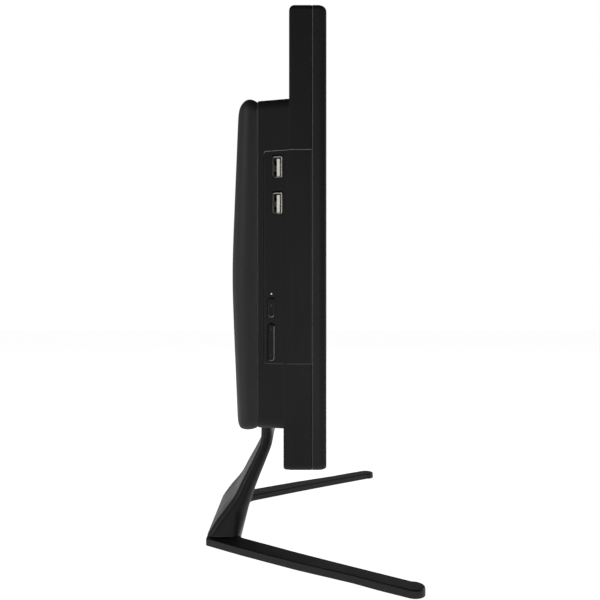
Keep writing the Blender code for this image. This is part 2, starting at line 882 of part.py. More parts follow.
for i, z in enumerate((152.0, 188.0)):
    box(f"memory_module_{i + 1}", (-30.0 - 67.6 - 16.0, -46.0), (18.2, 21.6), (z, z + 30.0), "pcb")
box("wifi_card", (-22, 0), (18.2, 20.4), (172, 202), "pcb")
cyl("cmos_battery", (-2, 17.4, 232), (-2, 20.6, 232), 10.0, 24, material="steel")
drive = box("storage_drive", (143.0, 212.85), (9.0, 18.5), (186, 286), "aluminium")
bevel(drive, 1.0)
prism(
    "drive_tray",
    [(138, 180), (219, 180), (219, 292), (214, 292), (214, 185), (142, 185), (142, 292), (138, 292)],
    "Y",
    5.0,
    16.0,
    "steel",
)
for label, x0, x1 in (("left", -202.0, -146.0), ("right", 146.0, 202.0)):
    speaker = box(f"speaker_{label}", (x0, x1), (3.9, 12.7), (109.5, 126.5), "chip")
    bevel(speaker, 1.2)

# Sockets on the underside of the bulge.
for name, (x, hw, h, d) in PORTS.items():
    z0 = BULGE_Z0 + 0.3
    body = box(name, (x - hw, x + hw), (PORT_Y, PORT_Y + h), (z0, z0 + d), "nickel")
    if name == "lan_port":
        cavity = box("lan_cavity", (x - 5.9, x + 5.9), (PORT_Y + 1.7, PORT_Y + 9.9), (z0 - 2, z0 + 13.2), cutter=True)
    elif name == "hdmi_port":
        cavity = prism(
            "hdmi_cavity",
            [(x - 5.6, PORT_Y + 0.6), (x + 5.6, PORT_Y + 0.6), (x + 7.1, PORT_Y + 2.4), (x + 7.1, PORT_Y + 5.1), (x - 7.1, PORT_Y + 5.1), (x - 7.1, PORT_Y + 2.4)],
            "Z",
            z0 - 2,
            z0 + 9.5,
            cutter=True,
        )
    else:
        cavity = box(name + "_cavity", (x - 6.2, x + 6.2), (PORT_Y + 0.35, PORT_Y + 5.35), (z0 - 2, z0 + 12), cutter=True)
    boolean(body, cavity)
    if name != "lan_port":
        boolean(
            body,
            box(name + "_tongue", (x - hw + 1.6, x + hw - 1.6), (PORT_Y + 2.2, PORT_Y + 3.8), (z0 + 1.2, z0 + d - 0.6), cutter=True),
            "UNION",
        )
dc_jack = cyl("dc_jack", (DC_X, 22.6, 129.9), (DC_X, 22.6, 142.5), 4.5, 20, material="chip")
boolean(dc_jack, cyl("dc_bore", (DC_X, 22.6, 127), (DC_X, 22.6, 140.5), 3.2, 20, cutter=True))
boolean(dc_jack, cyl("dc_pin", (DC_X, 22.6, 131.0), (DC_X, 22.6, 141.5), 1.0, 12, cutter=True), "UNION")
audio_jack = cyl("audio_jack", (AUDIO_X, 20.6, 129.9), (AUDIO_X, 20.6, 143.5), 3.0, 16, material="chip")
boolean(audio_jack, cyl("audio_bore", (AUDIO_X, 20.6, 127), (AUDIO_X, 20.6, 142.0), 1.8, 16, cutter=True))

# ---------------------------------------------------------------- tilt hinge
EAR_X = 29.0  # inner face of each ear
hinge_bracket = box("hinge_bracket", (-36, 36), (28.4, 30.4), (132.8, 163.0), "steel")
boolean_all(
    hinge_bracket,
    "hinge_ears",
    [
        box(f"hinge_ear_{i}", (x0, x1), (29.0, 43.6), (PIN_Z - 6.2, PIN_Z + 6.2), cutter=True)
        for i, (x0, x1) in enumerate([(-EAR_X - 2, -EAR_X), (EAR_X, EAR_X + 2)])
    ],
    "UNION",
)
boolean(
    hinge_bracket,
    cyl("hinge_ear_bore", (-50, PIN_Y, PIN_Z), (50, PIN_Y, PIN_Z), 2.9, 24, cutter=True),
)
hinge_pin = cyl("hinge_pin", (-32.6, PIN_Y, PIN_Z), (32.6, PIN_Y, PIN_Z), 2.5, 24, material="steel")
boolean_all(
    hinge_pin,
    "hinge_pin_heads",
    [
        cyl(f"hinge_pin_head_{i}", (a, PIN_Y, PIN_Z), (b, PIN_Y, PIN_Z), 4.2, 24, cutter=True)
        for i, (a, b) in enumerate([(-34.0, -31.4), (31.4, 34.0)])
    ],
    "UNION",
)
for label, a, b in (("left", -28.6, -27.7), ("right", 27.7, 28.6)):
    washer = cyl(f"friction_washer_{label}", (a, PIN_Y, PIN_Z), (b, PIN_Y, PIN_Z), 5.2, 24, material="steel")
    boolean(washer, cyl(f"washer_bore_{label}", (a - 2, PIN_Y, PIN_Z), (b + 2, PIN_Y, PIN_Z), 2.9, 24, cutter=True))

# ---------------------------------------------------------------- stand
# The arm's sections: height, half width, front and rear faces.
ARM = [
    (BASE_Z1 + GAP, 64.4, 57.0, 85.0),
    (9.0, 63.6, 56.2, 83.9),
    (20.0, 59.4, 52.2, 76.3),
    (35.0, 53.8, 46.8, 65.6),
    (50.0, 48.5, 41.4, 56.0),
    (65.0, 43.5, 36.2, 47.9),
    (77.0, 39.4, 32.4, 42.3),
    (83.0, 37.4, 31.1, 40.5),
    (90.0, 35.8, 31.5, 40.1),
    (98.0, 35.0, 32.6, 40.1),
    (133.0, 35.0, 32.8, 40.1),
]


def arm_ring(z, half_x, y0, y1):
    r = min(0.42 * (y1 - y0), 5.0)
    return [(u, v, z) for u, v in round_rect(-half_x, half_x, y0, y1, r, 4)]


stand_arm = loft("stand_arm", [arm_ring(*section) for section in ARM], "stand_paint")
boolean_all(
    stand_arm,
    "arm_top",
    [
        box("arm_web", (-25.0, 25.0), (35.0, 39.8), (130.0, 141.0), cutter=True),
        cyl("arm_barrel", (-27.3, PIN_Y, PIN_Z), (27.3, PIN_Y, PIN_Z), 5.2, 24, cutter=True),
    ],
    "UNION",
)
ARM_SCREWS = [(-42.0, 69.5), (0.0, 69.5), (42.0, 69.5)]
boolean_all(
    stand_arm,
    "arm_bores",
    [cyl("arm_pin_bore", (-50, PIN_Y, PIN_Z), (50, PIN_Y, PIN_Z), 2.9, 24, cutter=True)]
    + [
        cyl(f"arm_thread_{i}", (x, y, 0), (x, y, 17), 2.4, 12, cutter=True)
        for i, (x, y) in enumerate(ARM_SCREWS)
    ],
)


def arc(cx, cy, r, start, end, n):
    return [
        (cx + r * math.cos(math.radians(start + (end - start) * k / n)),
         cy + r * math.sin(math.radians(start + (end - start) * k / n)))
        for k in range(n + 1)
    ]


# Plan of the base, right half from the front edge of the rear bar round to the middle of its rear edge.
right_half = (
    [(0.0, 57.0), (54.0, 57.0), (60.5, 56.2), (64.5, 53.0)]
    + [(97.8, 7.0), (128.0, -37.0)]
    + arc(161.6, -74.2, 8.3, 214 - 32, 360 + 27, 9)[0:10]
    + [(144.0, -33.0), (120.4, 7.0), (89.0, 54.0)]
    + arc(64.4, 81.3, 4.0, 34, 90, 4)
    + [(0.0, 85.3)]
)
outline = right_half + [(-x, y) for x, y in reversed(right_half[1:-1])]
stand_base = prism("stand_base", outline, "Z", BASE_Z0, BASE_Z1, "stand_paint")
bevel(stand_base, 1.3, 2, 50)
FEET = [(-159.5, -71.0), (159.5, -71.0), (-63.0, 69.5), (63.0, 69.5)]
FOOT_NAMES = ["foot_front_left", "foot_front_right", "foot_rear_left", "foot_rear_right"]
boolean_all(
    stand_base,
    "base_holes",
    [
        cyl(f"foot_pocket_{i}", (x, y, -5), (x, y, 2.8), 5.8, 20, cutter=True)
        for i, (x, y) in enumerate(FEET)
    ]
    + [
        cyl(f"screw_recess_{i}", (x, y, -5), (x, y, 3.5), 4.4, 20, cutter=True)
        for i, (x, y) in enumerate(ARM_SCREWS)
    ],
)
boolean_all(
    stand_base,
    "base_screw_holes",
    [
        cyl(f"screw_passage_{i}", (x, y, 2), (x, y, 12), 2.4, 12, cutter=True)
        for i, (x, y) in enumerate(ARM_SCREWS)
    ],
)
for name, (x, y) in zip(FOOT_NAMES, FEET):
    cyl(name, (x, y, 0.0), (x, y, 2.5), 5.1, 20, 5.4, material="rubber")
for i, (x, y) in enumerate(ARM_SCREWS):
    screw = cyl(f"arm_screw_{i + 1}", (x, y, 1.1), (x, y, 3.2), 3.9, 20, material="steel")
    boolean(screw, cyl(f"arm_screw_shank_{i}", (x, y, 2.8), (x, y, 15.5), 2.0, 12, cutter=True), "UNION")

# ---------------------------------------------------------------- joint frames and shading
BODIES = {
    "tilt_joint": ((0, PIN_Y, PIN_Z), None),
    "fan_joint": ((FAN_X, 24.0, FAN_Z), ["fan_rotor"]),
    "power_button_joint": (None, ["power_button"]),
    "rocker_joint": (None, ["volume_rocker"]),
}
button_at = LEAN_FRAME @ Vector((2.0 * MM, BUTTON_Y * MM, BUTTON_Z * MM))
rocker_at = LEAN_FRAME @ Vector((3.3 * MM, BUTTON_Y * MM, ROCKER_Z * MM))
STAND_NODES = {"stand_arm", "stand_base", *FOOT_NAMES, "arm_screw_1", "arm_screw_2", "arm_screw_3"}


def joint_empty(name, where):
    empty = bpy.data.objects.new(name, None)
    PARTS.objects.link(empty)
    empty.location = where
    return empty


tilt = joint_empty("tilt_joint", Vector((0, PIN_Y, PIN_Z)) * MM)
children = {
    "fan_rotor": joint_empty("fan_joint", Vector((FAN_X, 24.0, FAN_Z)) * MM),
    "power_button": joint_empty("power_button_joint", button_at),
    "volume_rocker": joint_empty("rocker_joint", rocker_at),
}
for empty in children.values():
    empty.parent = tilt
    empty.matrix_parent_inverse = Matrix.Translation(-tilt.location)
bpy.context.view_layer.update()
for obj in list(PARTS.objects):
    if obj.type == "EMPTY" or obj.name in STAND_NODES:
        continue
    holder = children.get(obj.name, tilt)
    obj.parent = holder
    obj.matrix_parent_inverse = holder.matrix_world.inverted()

# The origin moves under the middle of the footprint: each top-level object, and each cutter, shifts by the same amount.
for obj in bpy.data.objects:
    if obj.parent is None:
        obj.location.y -= Y_CENTRE * MM

for obj in PARTS.objects:
    if obj.type == "MESH":
        obj.data.shade_smooth()
        obj.data.set_sharp_from_angle(angle=math.radians(30))
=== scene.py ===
"""The looks of the all-in-one computer: detailed visible pieces, procedural materials, light and camera.

Lengths in the helpers are millimetres. The y values of the pieces are written from the screen's own datum, and DY moves
them to the frame's origin.
"""

import json
import math

import bmesh
import bpy
from mathutils import Matrix, Vector


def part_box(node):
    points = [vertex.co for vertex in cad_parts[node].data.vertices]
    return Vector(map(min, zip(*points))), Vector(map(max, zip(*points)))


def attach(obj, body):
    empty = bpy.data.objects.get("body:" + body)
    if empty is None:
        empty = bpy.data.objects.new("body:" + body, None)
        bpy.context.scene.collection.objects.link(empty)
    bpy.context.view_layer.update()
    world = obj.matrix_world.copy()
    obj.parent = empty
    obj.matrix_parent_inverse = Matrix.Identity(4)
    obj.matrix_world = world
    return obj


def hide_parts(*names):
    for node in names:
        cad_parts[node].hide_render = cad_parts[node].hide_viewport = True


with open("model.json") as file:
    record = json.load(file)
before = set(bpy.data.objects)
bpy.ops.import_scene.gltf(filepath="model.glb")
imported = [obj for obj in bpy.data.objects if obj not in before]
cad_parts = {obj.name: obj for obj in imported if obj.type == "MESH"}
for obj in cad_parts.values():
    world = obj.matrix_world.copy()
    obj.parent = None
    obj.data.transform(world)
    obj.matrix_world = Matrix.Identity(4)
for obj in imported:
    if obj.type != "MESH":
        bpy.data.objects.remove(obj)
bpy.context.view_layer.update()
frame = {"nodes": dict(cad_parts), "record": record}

MM = 0.001

# ------------------------------------------------------------------ sizes, read from the frame
bezel_lo, bezel_hi = (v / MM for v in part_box("front_bezel"))
housing_lo, housing_hi = (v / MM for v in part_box("rear_housing"))
cover_lo, cover_hi = (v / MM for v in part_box("rear_cover"))
arm_lo, arm_hi = (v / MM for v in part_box("stand_arm"))
base_lo, base_hi = (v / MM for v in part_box("stand_base"))

Y_FRONT = -9.9
DY = bezel_lo.y - Y_FRONT
HALF_W = bezel_hi.x
Z_LOW, Z_TOP = bezel_lo.z, bezel_hi.z
Y_SEAM = -1.25
Y_BACK_UP, Y_BACK_LOW = 12.3, 15.6
SCREEN_W, SCREEN_H, SCREEN_Z0 = 432.0, 239.8, 126.2
BULGE_Z0, BULGE_Z1 = 128.5, 327.0
BULGE_X0, BULGE_X1 = 235.0, 230.0
Y_COVER = 31.5
WALL = 2.5
COVER_WALL = 2.2
COVER_BACK, COVER_RIDGE, RIDGE_Z = 43.9, 4.4, 222.0
PIN_Y, PIN_Z = 38.0, 143.0
LEAN = math.atan2(BULGE_X0 - BULGE_X1, Y_COVER - Y_BACK_UP)
PANEL_Z0, PANEL_Z1 = 167.6, 295.2
PANEL_REAR, PANEL_T = 16.1, 2.0
LEAN_FRAME = Matrix.Translation((-BULGE_X0 * MM, Y_BACK_UP * MM, 0)) @ Matrix.Rotation(
    -LEAN, 4, "Z"
)
USB_Y, USB_Z = 7.3, (285.3, 263.7)
BUTTON_Y, BUTTON_Z, BUTTON_HALF = 11.0, 201.4, (1.95, 5.85)
ROCKER_Z, ROCKER_HALF = 180.7, (1.95, 11.25)
LED_Y, LED_Z = 10.95, 209.6
NOTCH_X, NOTCH_Z = 39.0, 159.0
FAN_X = 95.0
SCREWS = [(sx * 180.0, z) for z in (150.0, 306.0) for sx in (-1, 1)]


# ------------------------------------------------------------------ materials
class Nodes:
    """A short way to write a node tree."""

    def __init__(self, name):
        self.mat = bpy.data.materials.new(name)
        self.mat.use_nodes = True
        self.tree = self.mat.node_tree
        self.bsdf = self.tree.nodes["Principled BSDF"]
        self.coord = self.add("ShaderNodeTexCoord").outputs["Object"]

    def add(self, kind, **values):
        node = self.tree.nodes.new(kind)
        for key, value in values.items():
            setattr(node, key, value)
        return node

    def link(self, a, b):
        self.tree.links.new(a, b)

    def noise(self, scale, detail=3.0, roughness=0.5, stretch=None, distortion=0.0):
        node = self.add("ShaderNodeTexNoise")
        node.inputs["Scale"].default_value = scale
        node.inputs["Detail"].default_value = detail
        node.inputs["Roughness"].default_value = roughness
        node.inputs["Distortion"].default_value = distortion
        if stretch:
            mapping = self.add("ShaderNodeMapping")
            mapping.inputs["Scale"].default_value = stretch
            self.link(self.coord, mapping.inputs["Vector"])
            self.link(mapping.outputs[0], node.inputs["Vector"])
        else:
            self.link(self.coord, node.inputs["Vector"])
        return node.outputs["Fac"]

    def voronoi(self, scale, feature="F1"):
        node = self.add("ShaderNodeTexVoronoi", feature=feature)
        node.inputs["Scale"].default_value = scale
        self.link(self.coord, node.inputs["Vector"])
        return node.outputs["Distance"]

    def ramp(self, source, low, high, from_min=0.3, from_max=0.7):
        node = self.add("ShaderNodeMapRange")
        node.inputs["From Min"].default_value = from_min
        node.inputs["From Max"].default_value = from_max
        node.inputs["To Min"].default_value = low
        node.inputs["To Max"].default_value = high
        self.link(source, node.inputs["Value"])
        return node.outputs[0]

    def mix(self, factor, a, b):
        node = self.add("ShaderNodeMix", data_type="RGBA")
        for value, socket in ((factor, node.inputs[0]), (a, node.inputs[6]), (b, node.inputs[7])):
            if isinstance(value, (int, float)):
                socket.default_value = value
            elif isinstance(value, tuple):
                socket.default_value = (*value, 1.0)
            else:
                self.link(value, socket)
        return node.outputs[2]

    def math(self, operation, a, b):
        node = self.add("ShaderNodeMath", operation=operation)
        for value, socket in ((a, node.inputs[0]), (b, node.inputs[1])):
            if isinstance(value, (int, float)):
                socket.default_value = value
            else:
                self.link(value, socket)
        return node.outputs[0]

    def bump(self, height, strength, distance, normal=None):
        node = self.add("ShaderNodeBump")
        node.inputs["Strength"].default_value = strength
        node.inputs["Distance"].default_value = distance
        self.link(height, node.inputs["Height"])
        if normal is not None:
            self.link(normal, node.inputs["Normal"])
        return node.outputs[0]

    def edges(self, radius):
        """1 on convex and concave edges, falling to 0 within the radius."""
        bevel = self.add("ShaderNodeBevel", samples=4)
        bevel.inputs["Radius"].default_value = radius
        geometry = self.add("ShaderNodeNewGeometry")
        dot = self.add("ShaderNodeVectorMath", operation="DOT_PRODUCT")
        self.link(bevel.outputs[0], dot.inputs[0])
        self.link(geometry.outputs["Normal"], dot.inputs[1])
        return self.ramp(dot.outputs["Value"], 1.0, 0.0, 0.80, 0.995)


def plastic(name, rgb, rough, grain=900.0, bump=0.12, edge=None, specular=0.5, highlight_floor=0.5):
    """Moulded plastic: fine spark-eroded grain, a little cloudiness, handling marks, and edges lightened by a painted
    highlight.
    """
    n = Nodes(name)
    cloud = n.noise(14.0, 4.0, 0.6)
    fine = n.noise(grain, 2.0, 0.7)
    dark = tuple(c * 0.86 for c in rgb)
    light = tuple(c * 1.14 for c in rgb)
    colour = n.mix(n.ramp(cloud, 0.0, 1.0), dark, light)
    # The edge colour is a painted highlight on convex and concave edges, broken up by noise.
    if edge:
        mask = n.math("MULTIPLY", n.edges(0.0006), n.ramp(n.noise(60.0, 3.0), highlight_floor, 1.0))
        colour = n.mix(mask, colour, edge)
    n.link(colour, n.bsdf.inputs["Base Color"])
    rub = n.noise(32.0, 5.0, 0.65, stretch=(1.0, 1.0, 0.35))
    level = n.math("ADD", n.ramp(rub, rough - 0.06, rough + 0.07), n.ramp(fine, -0.03, 0.03))
    n.link(level, n.bsdf.inputs["Roughness"])
    coarse = n.bump(n.noise(6.0, 2.0), 0.05, 0.0004)
    n.link(n.bump(fine, bump, 0.00006, coarse), n.bsdf.inputs["Normal"])
    n.bsdf.inputs["Specular IOR Level"].default_value = specular
    return n.mat


def metal(name, rgb, rough, stretch=(40.0, 40.0, 1.0), bump=0.08, brush=30.0):
    """Plated or drawn metal: directional brushing and smudges."""
    n = Nodes(name)
    lines = n.noise(brush, 3.0, 0.6, stretch=stretch)
    smudge = n.noise(45.0, 4.0, 0.6)
    colour = n.mix(n.ramp(smudge, 0.0, 1.0), tuple(c * 0.84 for c in rgb), rgb)
    n.link(colour, n.bsdf.inputs["Base Color"])
    n.link(
        n.math("ADD", n.ramp(lines, rough - 0.05, rough + 0.05), n.ramp(smudge, -0.04, 0.06)),
        n.bsdf.inputs["Roughness"],
    )
    n.link(n.bump(lines, bump, 0.00004), n.bsdf.inputs["Normal"])
    n.bsdf.inputs["Metallic"].default_value = 1.0
    return n.mat


def circuit_board(name):
    n = Nodes(name)
    cells = n.voronoi(260.0, "DISTANCE_TO_EDGE")
    tracks = n.ramp(n.noise(120.0, 2.0, stretch=(1.0, 1.0, 6.0)), 0.0, 1.0, 0.47, 0.53)
    colour = n.mix(tracks, (0.008, 0.060, 0.026), (0.014, 0.105, 0.045))
    pads = n.ramp(n.voronoi(420.0), 1.0, 0.0, 0.10, 0.16)
    colour = n.mix(pads, colour, (0.50, 0.47, 0.40))
    n.link(colour, n.bsdf.inputs["Base Color"])
    n.link(n.ramp(cells, 0.35, 0.55, 0.0, 0.2), n.bsdf.inputs["Roughness"])
    n.link(n.bump(tracks, 0.3, 0.00005), n.bsdf.inputs["Normal"])
    return n.mat


def screen(name):
    """The panel switched off: near black behind an anti-glare film."""
    n = Nodes(name)
    haze = n.noise(5.0, 4.0, 0.6)
    film = n.noise(1600.0, 1.0)
    n.link(n.mix(n.ramp(haze, 0.0, 1.0), (0.0045, 0.0048, 0.0060), (0.0065, 0.0068, 0.0080)), n.bsdf.inputs["Base Color"])
    n.link(n.math("ADD", n.ramp(haze, 0.20, 0.26), n.ramp(film, -0.02, 0.02)), n.bsdf.inputs["Roughness"])
    n.link(n.bump(film, 0.03, 0.00002), n.bsdf.inputs["Normal"])
    n.bsdf.inputs["Specular IOR Level"].default_value = 0.45
    return n.mat


def glow(name, rgb, strength):
    n = Nodes(name)
    core = n.noise(900.0, 2.0)
    n.link(n.mix(n.ramp(core, 0.0, 1.0), tuple(c * 0.85 for c in rgb), rgb), n.bsdf.inputs["Base Color"])
    n.link(n.ramp(core, 0.18, 0.30), n.bsdf.inputs["Roughness"])
    n.link(n.bump(core, 0.05, 0.00003), n.bsdf.inputs["Normal"])
    n.bsdf.inputs["Emission Color"].default_value = (*rgb, 1.0)
    n.bsdf.inputs["Emission Strength"].default_value = strength
    return n.mat


# The edge colours given to plastic() here paint a highlight on the edges of the black, bezel, cover and stand plastics.
BLACK = plastic("black_plastic_v", (0.0074, 0.0074, 0.0076), 0.52, edge=(0.035, 0.035, 0.035), specular=0.24)
# A lighter copy of the black plastic, laid on chamfers and seams as a painted highlight.
EDGE_HIGHLIGHT = plastic("black_plastic_painted_edge_highlight", (0.085, 0.085, 0.084), 0.42, grain=1300.0, specular=0.5)
# A much lighter copy of the black plastic, the painted highlight on the side panel's top edge and on the keys' lit
# rims.
RIDGE_HIGHLIGHT = plastic("black_plastic_painted_ridge_highlight", (0.36, 0.36, 0.36), 0.38, grain=1300.0, specular=0.5)
# A slightly lighter copy of the black plastic, the fainter painted highlight on the side panel's side edges.
SOFT_HIGHLIGHT = plastic("black_plastic_painted_soft_highlight", (0.045, 0.045, 0.045), 0.42, grain=1300.0, specular=0.4)
# A light copy of the key plastic, the painted highlight on the rocker's lower cap.
CAP_HIGHLIGHT = plastic("key_plastic_painted_highlight", (0.34, 0.34, 0.34), 0.32, grain=1300.0, specular=0.5)
FRONT = plastic("bezel_plastic_v", (0.0096, 0.0096, 0.0098), 0.50, edge=(0.040, 0.040, 0.040), specular=0.28)
COVER = plastic("cover_plastic_v", (0.0130, 0.0130, 0.0133), 0.52, grain=1100.0, edge=(0.030, 0.030, 0.030), specular=0.34)
PANEL = plastic("panel_plastic_v", (0.0062, 0.0062, 0.0064), 0.50, grain=1000.0, specular=0.24)
KEY = plastic("key_plastic_v", (0.0064, 0.0064, 0.0066), 0.48, grain=1300.0, specular=0.22)
PRINT = plastic("printed_mark", (0.085, 0.085, 0.085), 0.6, grain=1300.0)
PAINT = plastic("stand_paint_v", (0.0085, 0.0085, 0.0088), 0.42, grain=700.0, bump=0.10, edge=(0.030, 0.030, 0.030), specular=0.36)
RUBBER = plastic("rubber_v", (0.018, 0.018, 0.018), 0.82, grain=500.0, bump=0.25)
WHITE = plastic("tongue_plastic_v", (0.88, 0.875, 0.83), 0.38, grain=1300.0, bump=0.05)
CHIP = plastic("chip_v", (0.020, 0.020, 0.021), 0.48, grain=1500.0, bump=0.2)
BACKLIGHT = plastic("backlight_v", (0.42, 0.42, 0.43), 0.45, grain=600.0)
SCREEN = screen("screen_v")
LENS = plastic("lens_v", (0.006, 0.006, 0.010), 0.10, grain=1500.0, bump=0.01)
LED = glow("led_v", (0.93, 0.96, 1.0), 0.15)
STEEL = metal("steel_v", (0.56, 0.56, 0.57), 0.34)
SCREW = metal("screw_v", (0.10, 0.10, 0.10), 0.38, stretch=(30.0, 30.0, 30.0))
NICKEL = metal("nickel_v", (0.30, 0.265, 0.20), 0.30, stretch=(1.0, 40.0, 1.0), bump=0.05)
# Lit and shaded copies of the nickel: a painted highlight and a painted shade for the socket shells' front lips.
NICKEL_HIGHLIGHT = metal("nickel_painted_highlight", (0.95, 0.93, 0.88), 0.30, stretch=(1.0, 40.0, 1.0), bump=0.05)
NICKEL_SHADE = metal("nickel_painted_shade", (0.035, 0.030, 0.024), 0.5, stretch=(1.0, 40.0, 1.0), bump=0.05)
GOLD = metal("contact_v", (0.78, 0.52, 0.22), 0.28, stretch=(1.0, 1.0, 30.0), bump=0.05)
COPPER = metal("copper_v", (0.72, 0.38, 0.22), 0.28)
ALUMINIUM = metal("aluminium_v", (0.74, 0.74, 0.75), 0.36)
BOARD = circuit_board("board_v")

SLOT_MATERIAL = {
    "black_plastic": BLACK,
    "cover_plastic": COVER,
    "stand_paint": PAINT,
    "rubber": RUBBER,
    "screen_glass": SCREEN,
    "backlight": BACKLIGHT,
    "steel": STEEL,
    "nickel": NICKEL,
    "white_plastic": WHITE,
    "pcb": BOARD,
    "copper": COPPER,
    "aluminium": ALUMINIUM,
    "chip": CHIP,
    "led": LED,
}
node_slot = {s["node"]: s["material_slot"] for s in frame["record"]["subparts"]}
for node_name, node_obj in frame["nodes"].items():
    material = SLOT_MATERIAL[node_slot[node_name]]
    node_obj.data.materials.clear()
    node_obj.data.materials.append(material)


# ------------------------------------------------------------------ mesh helpers
def new_object(name, bm, rot=None):
    bmesh.ops.recalc_face_normals(bm, faces=bm.faces)
    if bm.calc_volume(signed=True) < 0:
        bmesh.ops.reverse_faces(bm, faces=bm.faces)
    mesh = bpy.data.meshes.new(name)
    bm.to_mesh(mesh)
    bm.free()
    obj = bpy.data.objects.new(name, mesh)
    if rot is not None:
        mesh.transform(rot)
    bpy.context.scene.collection.objects.link(obj)
    return obj


def loft(name, rings, rot=None, band=None):
    """Skins rings of points. band gives a material index for each gap between two rings."""
    bm = bmesh.new()
    loops = [[bm.verts.new(Vector(p) * MM) for p in ring] for ring in rings]
    n = len(loops[0])
    for k, (a, b) in enumerate(zip(loops, loops[1:])):
        for i in range(n):
            face = bm.faces.new((a[i], a[(i + 1) % n], b[(i + 1) % n], b[i]))
            if band:
                face.material_index = band[k]
    bm.faces.new(loops[0])
    bm.faces.new(loops[-1])
    return new_object(name, bm, rot)


def prism(name, outline, axis, lo, hi, rot=None):
    """A flat outline extruded along an axis. Its points are (y, z), (x, z) or (x, y)."""

    def place(u, v, w):
        return {"X": (w, u, v), "Y": (u, w, v), "Z": (u, v, w)}[axis]

    return loft(name, [[place(u, v, w) for u, v in outline] for w in (lo, hi)], rot)


def box(name, x, y, z, rot=None):
    outline = [(x[0], y[0]), (x[1], y[0]), (x[1], y[1]), (x[0], y[1])]
    return prism(name, outline, "Z", z[0], z[1], rot)


def circle(radius, n=32, cu=0.0, cv=0.0, start=0.0):
    return [
        (
            cu + radius * math.cos(start + 2 * math.pi * k / n),
            cv + radius * math.sin(start + 2 * math.pi * k / n),
        )
        for k in range(n)
    ]


def turned(name, profile, axis, centre, n=40, rot=None):
    """A solid of revolution. profile is (position along the axis, radius), and centre its place across the axis."""

    def place(u, v, w):
        return {"X": (w, u, v), "Y": (u, w, v), "Z": (u, v, w)}[axis]

    rings = [
        [place(u, v, w) for u, v in circle(max(r, 0.01), n, *centre)] for w, r in profile
    ]
    return loft(name, rings, rot)


def round_rect(x0, x1, z0, z1, r, per_corner=7):
    points = []
    for cx, cz, start in (
        (x1 - r, z0 + r, -90),
        (x1 - r, z1 - r, 0),
        (x0 + r, z1 - r, 90),
        (x0 + r, z0 + r, 180),
    ):
        for k in range(per_corner):
            t = math.radians(start + 90 * k / (per_corner - 1))
            points.append((cx + r * math.cos(t), cz + r * math.sin(t)))
    return points


def stadium(cu, cv, half_u, half_v, n=14):
    points = []
    for sign, start in ((1, 0), (-1, 180)):
        for k in range(n + 1):
            t = math.radians(start + 180 * k / n)
            points.append(
                (cu + half_u * math.cos(t), cv + sign * (half_v - half_u) + half_u * math.sin(t))
            )
    return points


def baked(obj):
    """The object's modifiers made real."""
    bpy.context.view_layer.update()
    graph = bpy.context.evaluated_depsgraph_get()
    mesh = bpy.data.meshes.new_from_object(obj.evaluated_get(graph), preserve_all_data_layers=True, depsgraph=graph)
    old = obj.data
    obj.modifiers.clear()
    obj.data = mesh
    bpy.data.meshes.remove(old)
    return obj


def combine(obj, others, operation="DIFFERENCE", solver="EXACT"):
    """Cuts the others from the object, or joins them to it, and removes them."""
    group = bpy.data.collections.new("tools")
    for other in others:
        for c in list(other.users_collection):
            c.objects.unlink(other)
        group.objects.link(other)
    bpy.context.scene.collection.children.link(group)
    mod = obj.modifiers.new("tools", "BOOLEAN")
    mod.operation = operation
    mod.solver = solver
    mod.operand_type = "COLLECTION"
    mod.collection = group
    mod.use_self = operation == "UNION"
    baked(obj)
    for other in others:
        bpy.data.objects.remove(other, do_unlink=True)
    bpy.data.collections.remove(group)
    return obj


def chamfer(obj, width, segments=2, angle=32, material=-1, clamp=True):
    mod = obj.modifiers.new("bevel", "BEVEL")
    mod.width = width * MM
    mod.segments = segments
    mod.limit_method = "ANGLE"
    mod.angle_limit = math.radians(angle)
    mod.use_clamp_overlap = clamp
    mod.material = material
    mod.miter_outer = "MITER_ARC"
    return obj


def tidy(obj, merge=0.002):
    bm = bmesh.new()
    bm.from_mesh(obj.data)
    bmesh.ops.remove_doubles(bm, verts=bm.verts, dist=merge * MM)
    bmesh.ops.dissolve_degenerate(bm, edges=bm.edges, dist=merge * MM)
    bm.to_mesh(obj.data)
    bm.free()
    return obj


def finish_piece(obj, nodes, body, materials, sharp=30, weighted=True, shift=True):
    """Places a finished piece: its materials, its smooth shading, the body it rides on and the node it stands for."""
    if shift:
        obj.data.transform(Matrix.Translation((0, DY * MM, 0)))
    keep = [p.material_index for p in obj.data.polygons]
    obj.data.materials.clear()
    for m in materials:
        obj.data.materials.append(m)
    for p, index in zip(obj.data.polygons, keep):
        p.material_index = min(index, len(materials) - 1)
    obj.data.shade_smooth()
    obj.data.set_sharp_from_angle(angle=math.radians(sharp))
    if weighted:
        mod = obj.modifiers.new("weighted", "WEIGHTED_NORMAL")
        mod.keep_sharp = True
    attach(obj, body)
    if nodes:
        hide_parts(*([nodes] if isinstance(nodes, str) else nodes))
    return obj


# ------------------------------------------------------------------ bezel and screen
SLAB_R = 4.2


def bezel_ring(inset, y, low=1.0, top=1.0):
    return [
        (u, y, v)
        for u, v in round_rect(
            -HALF_W + inset,
            HALF_W - inset,
            Z_LOW + inset * low,
            Z_TOP - inset * top,
            max(SLAB_R - inset * 0.5, 1.2),
            12,
        )
    ]


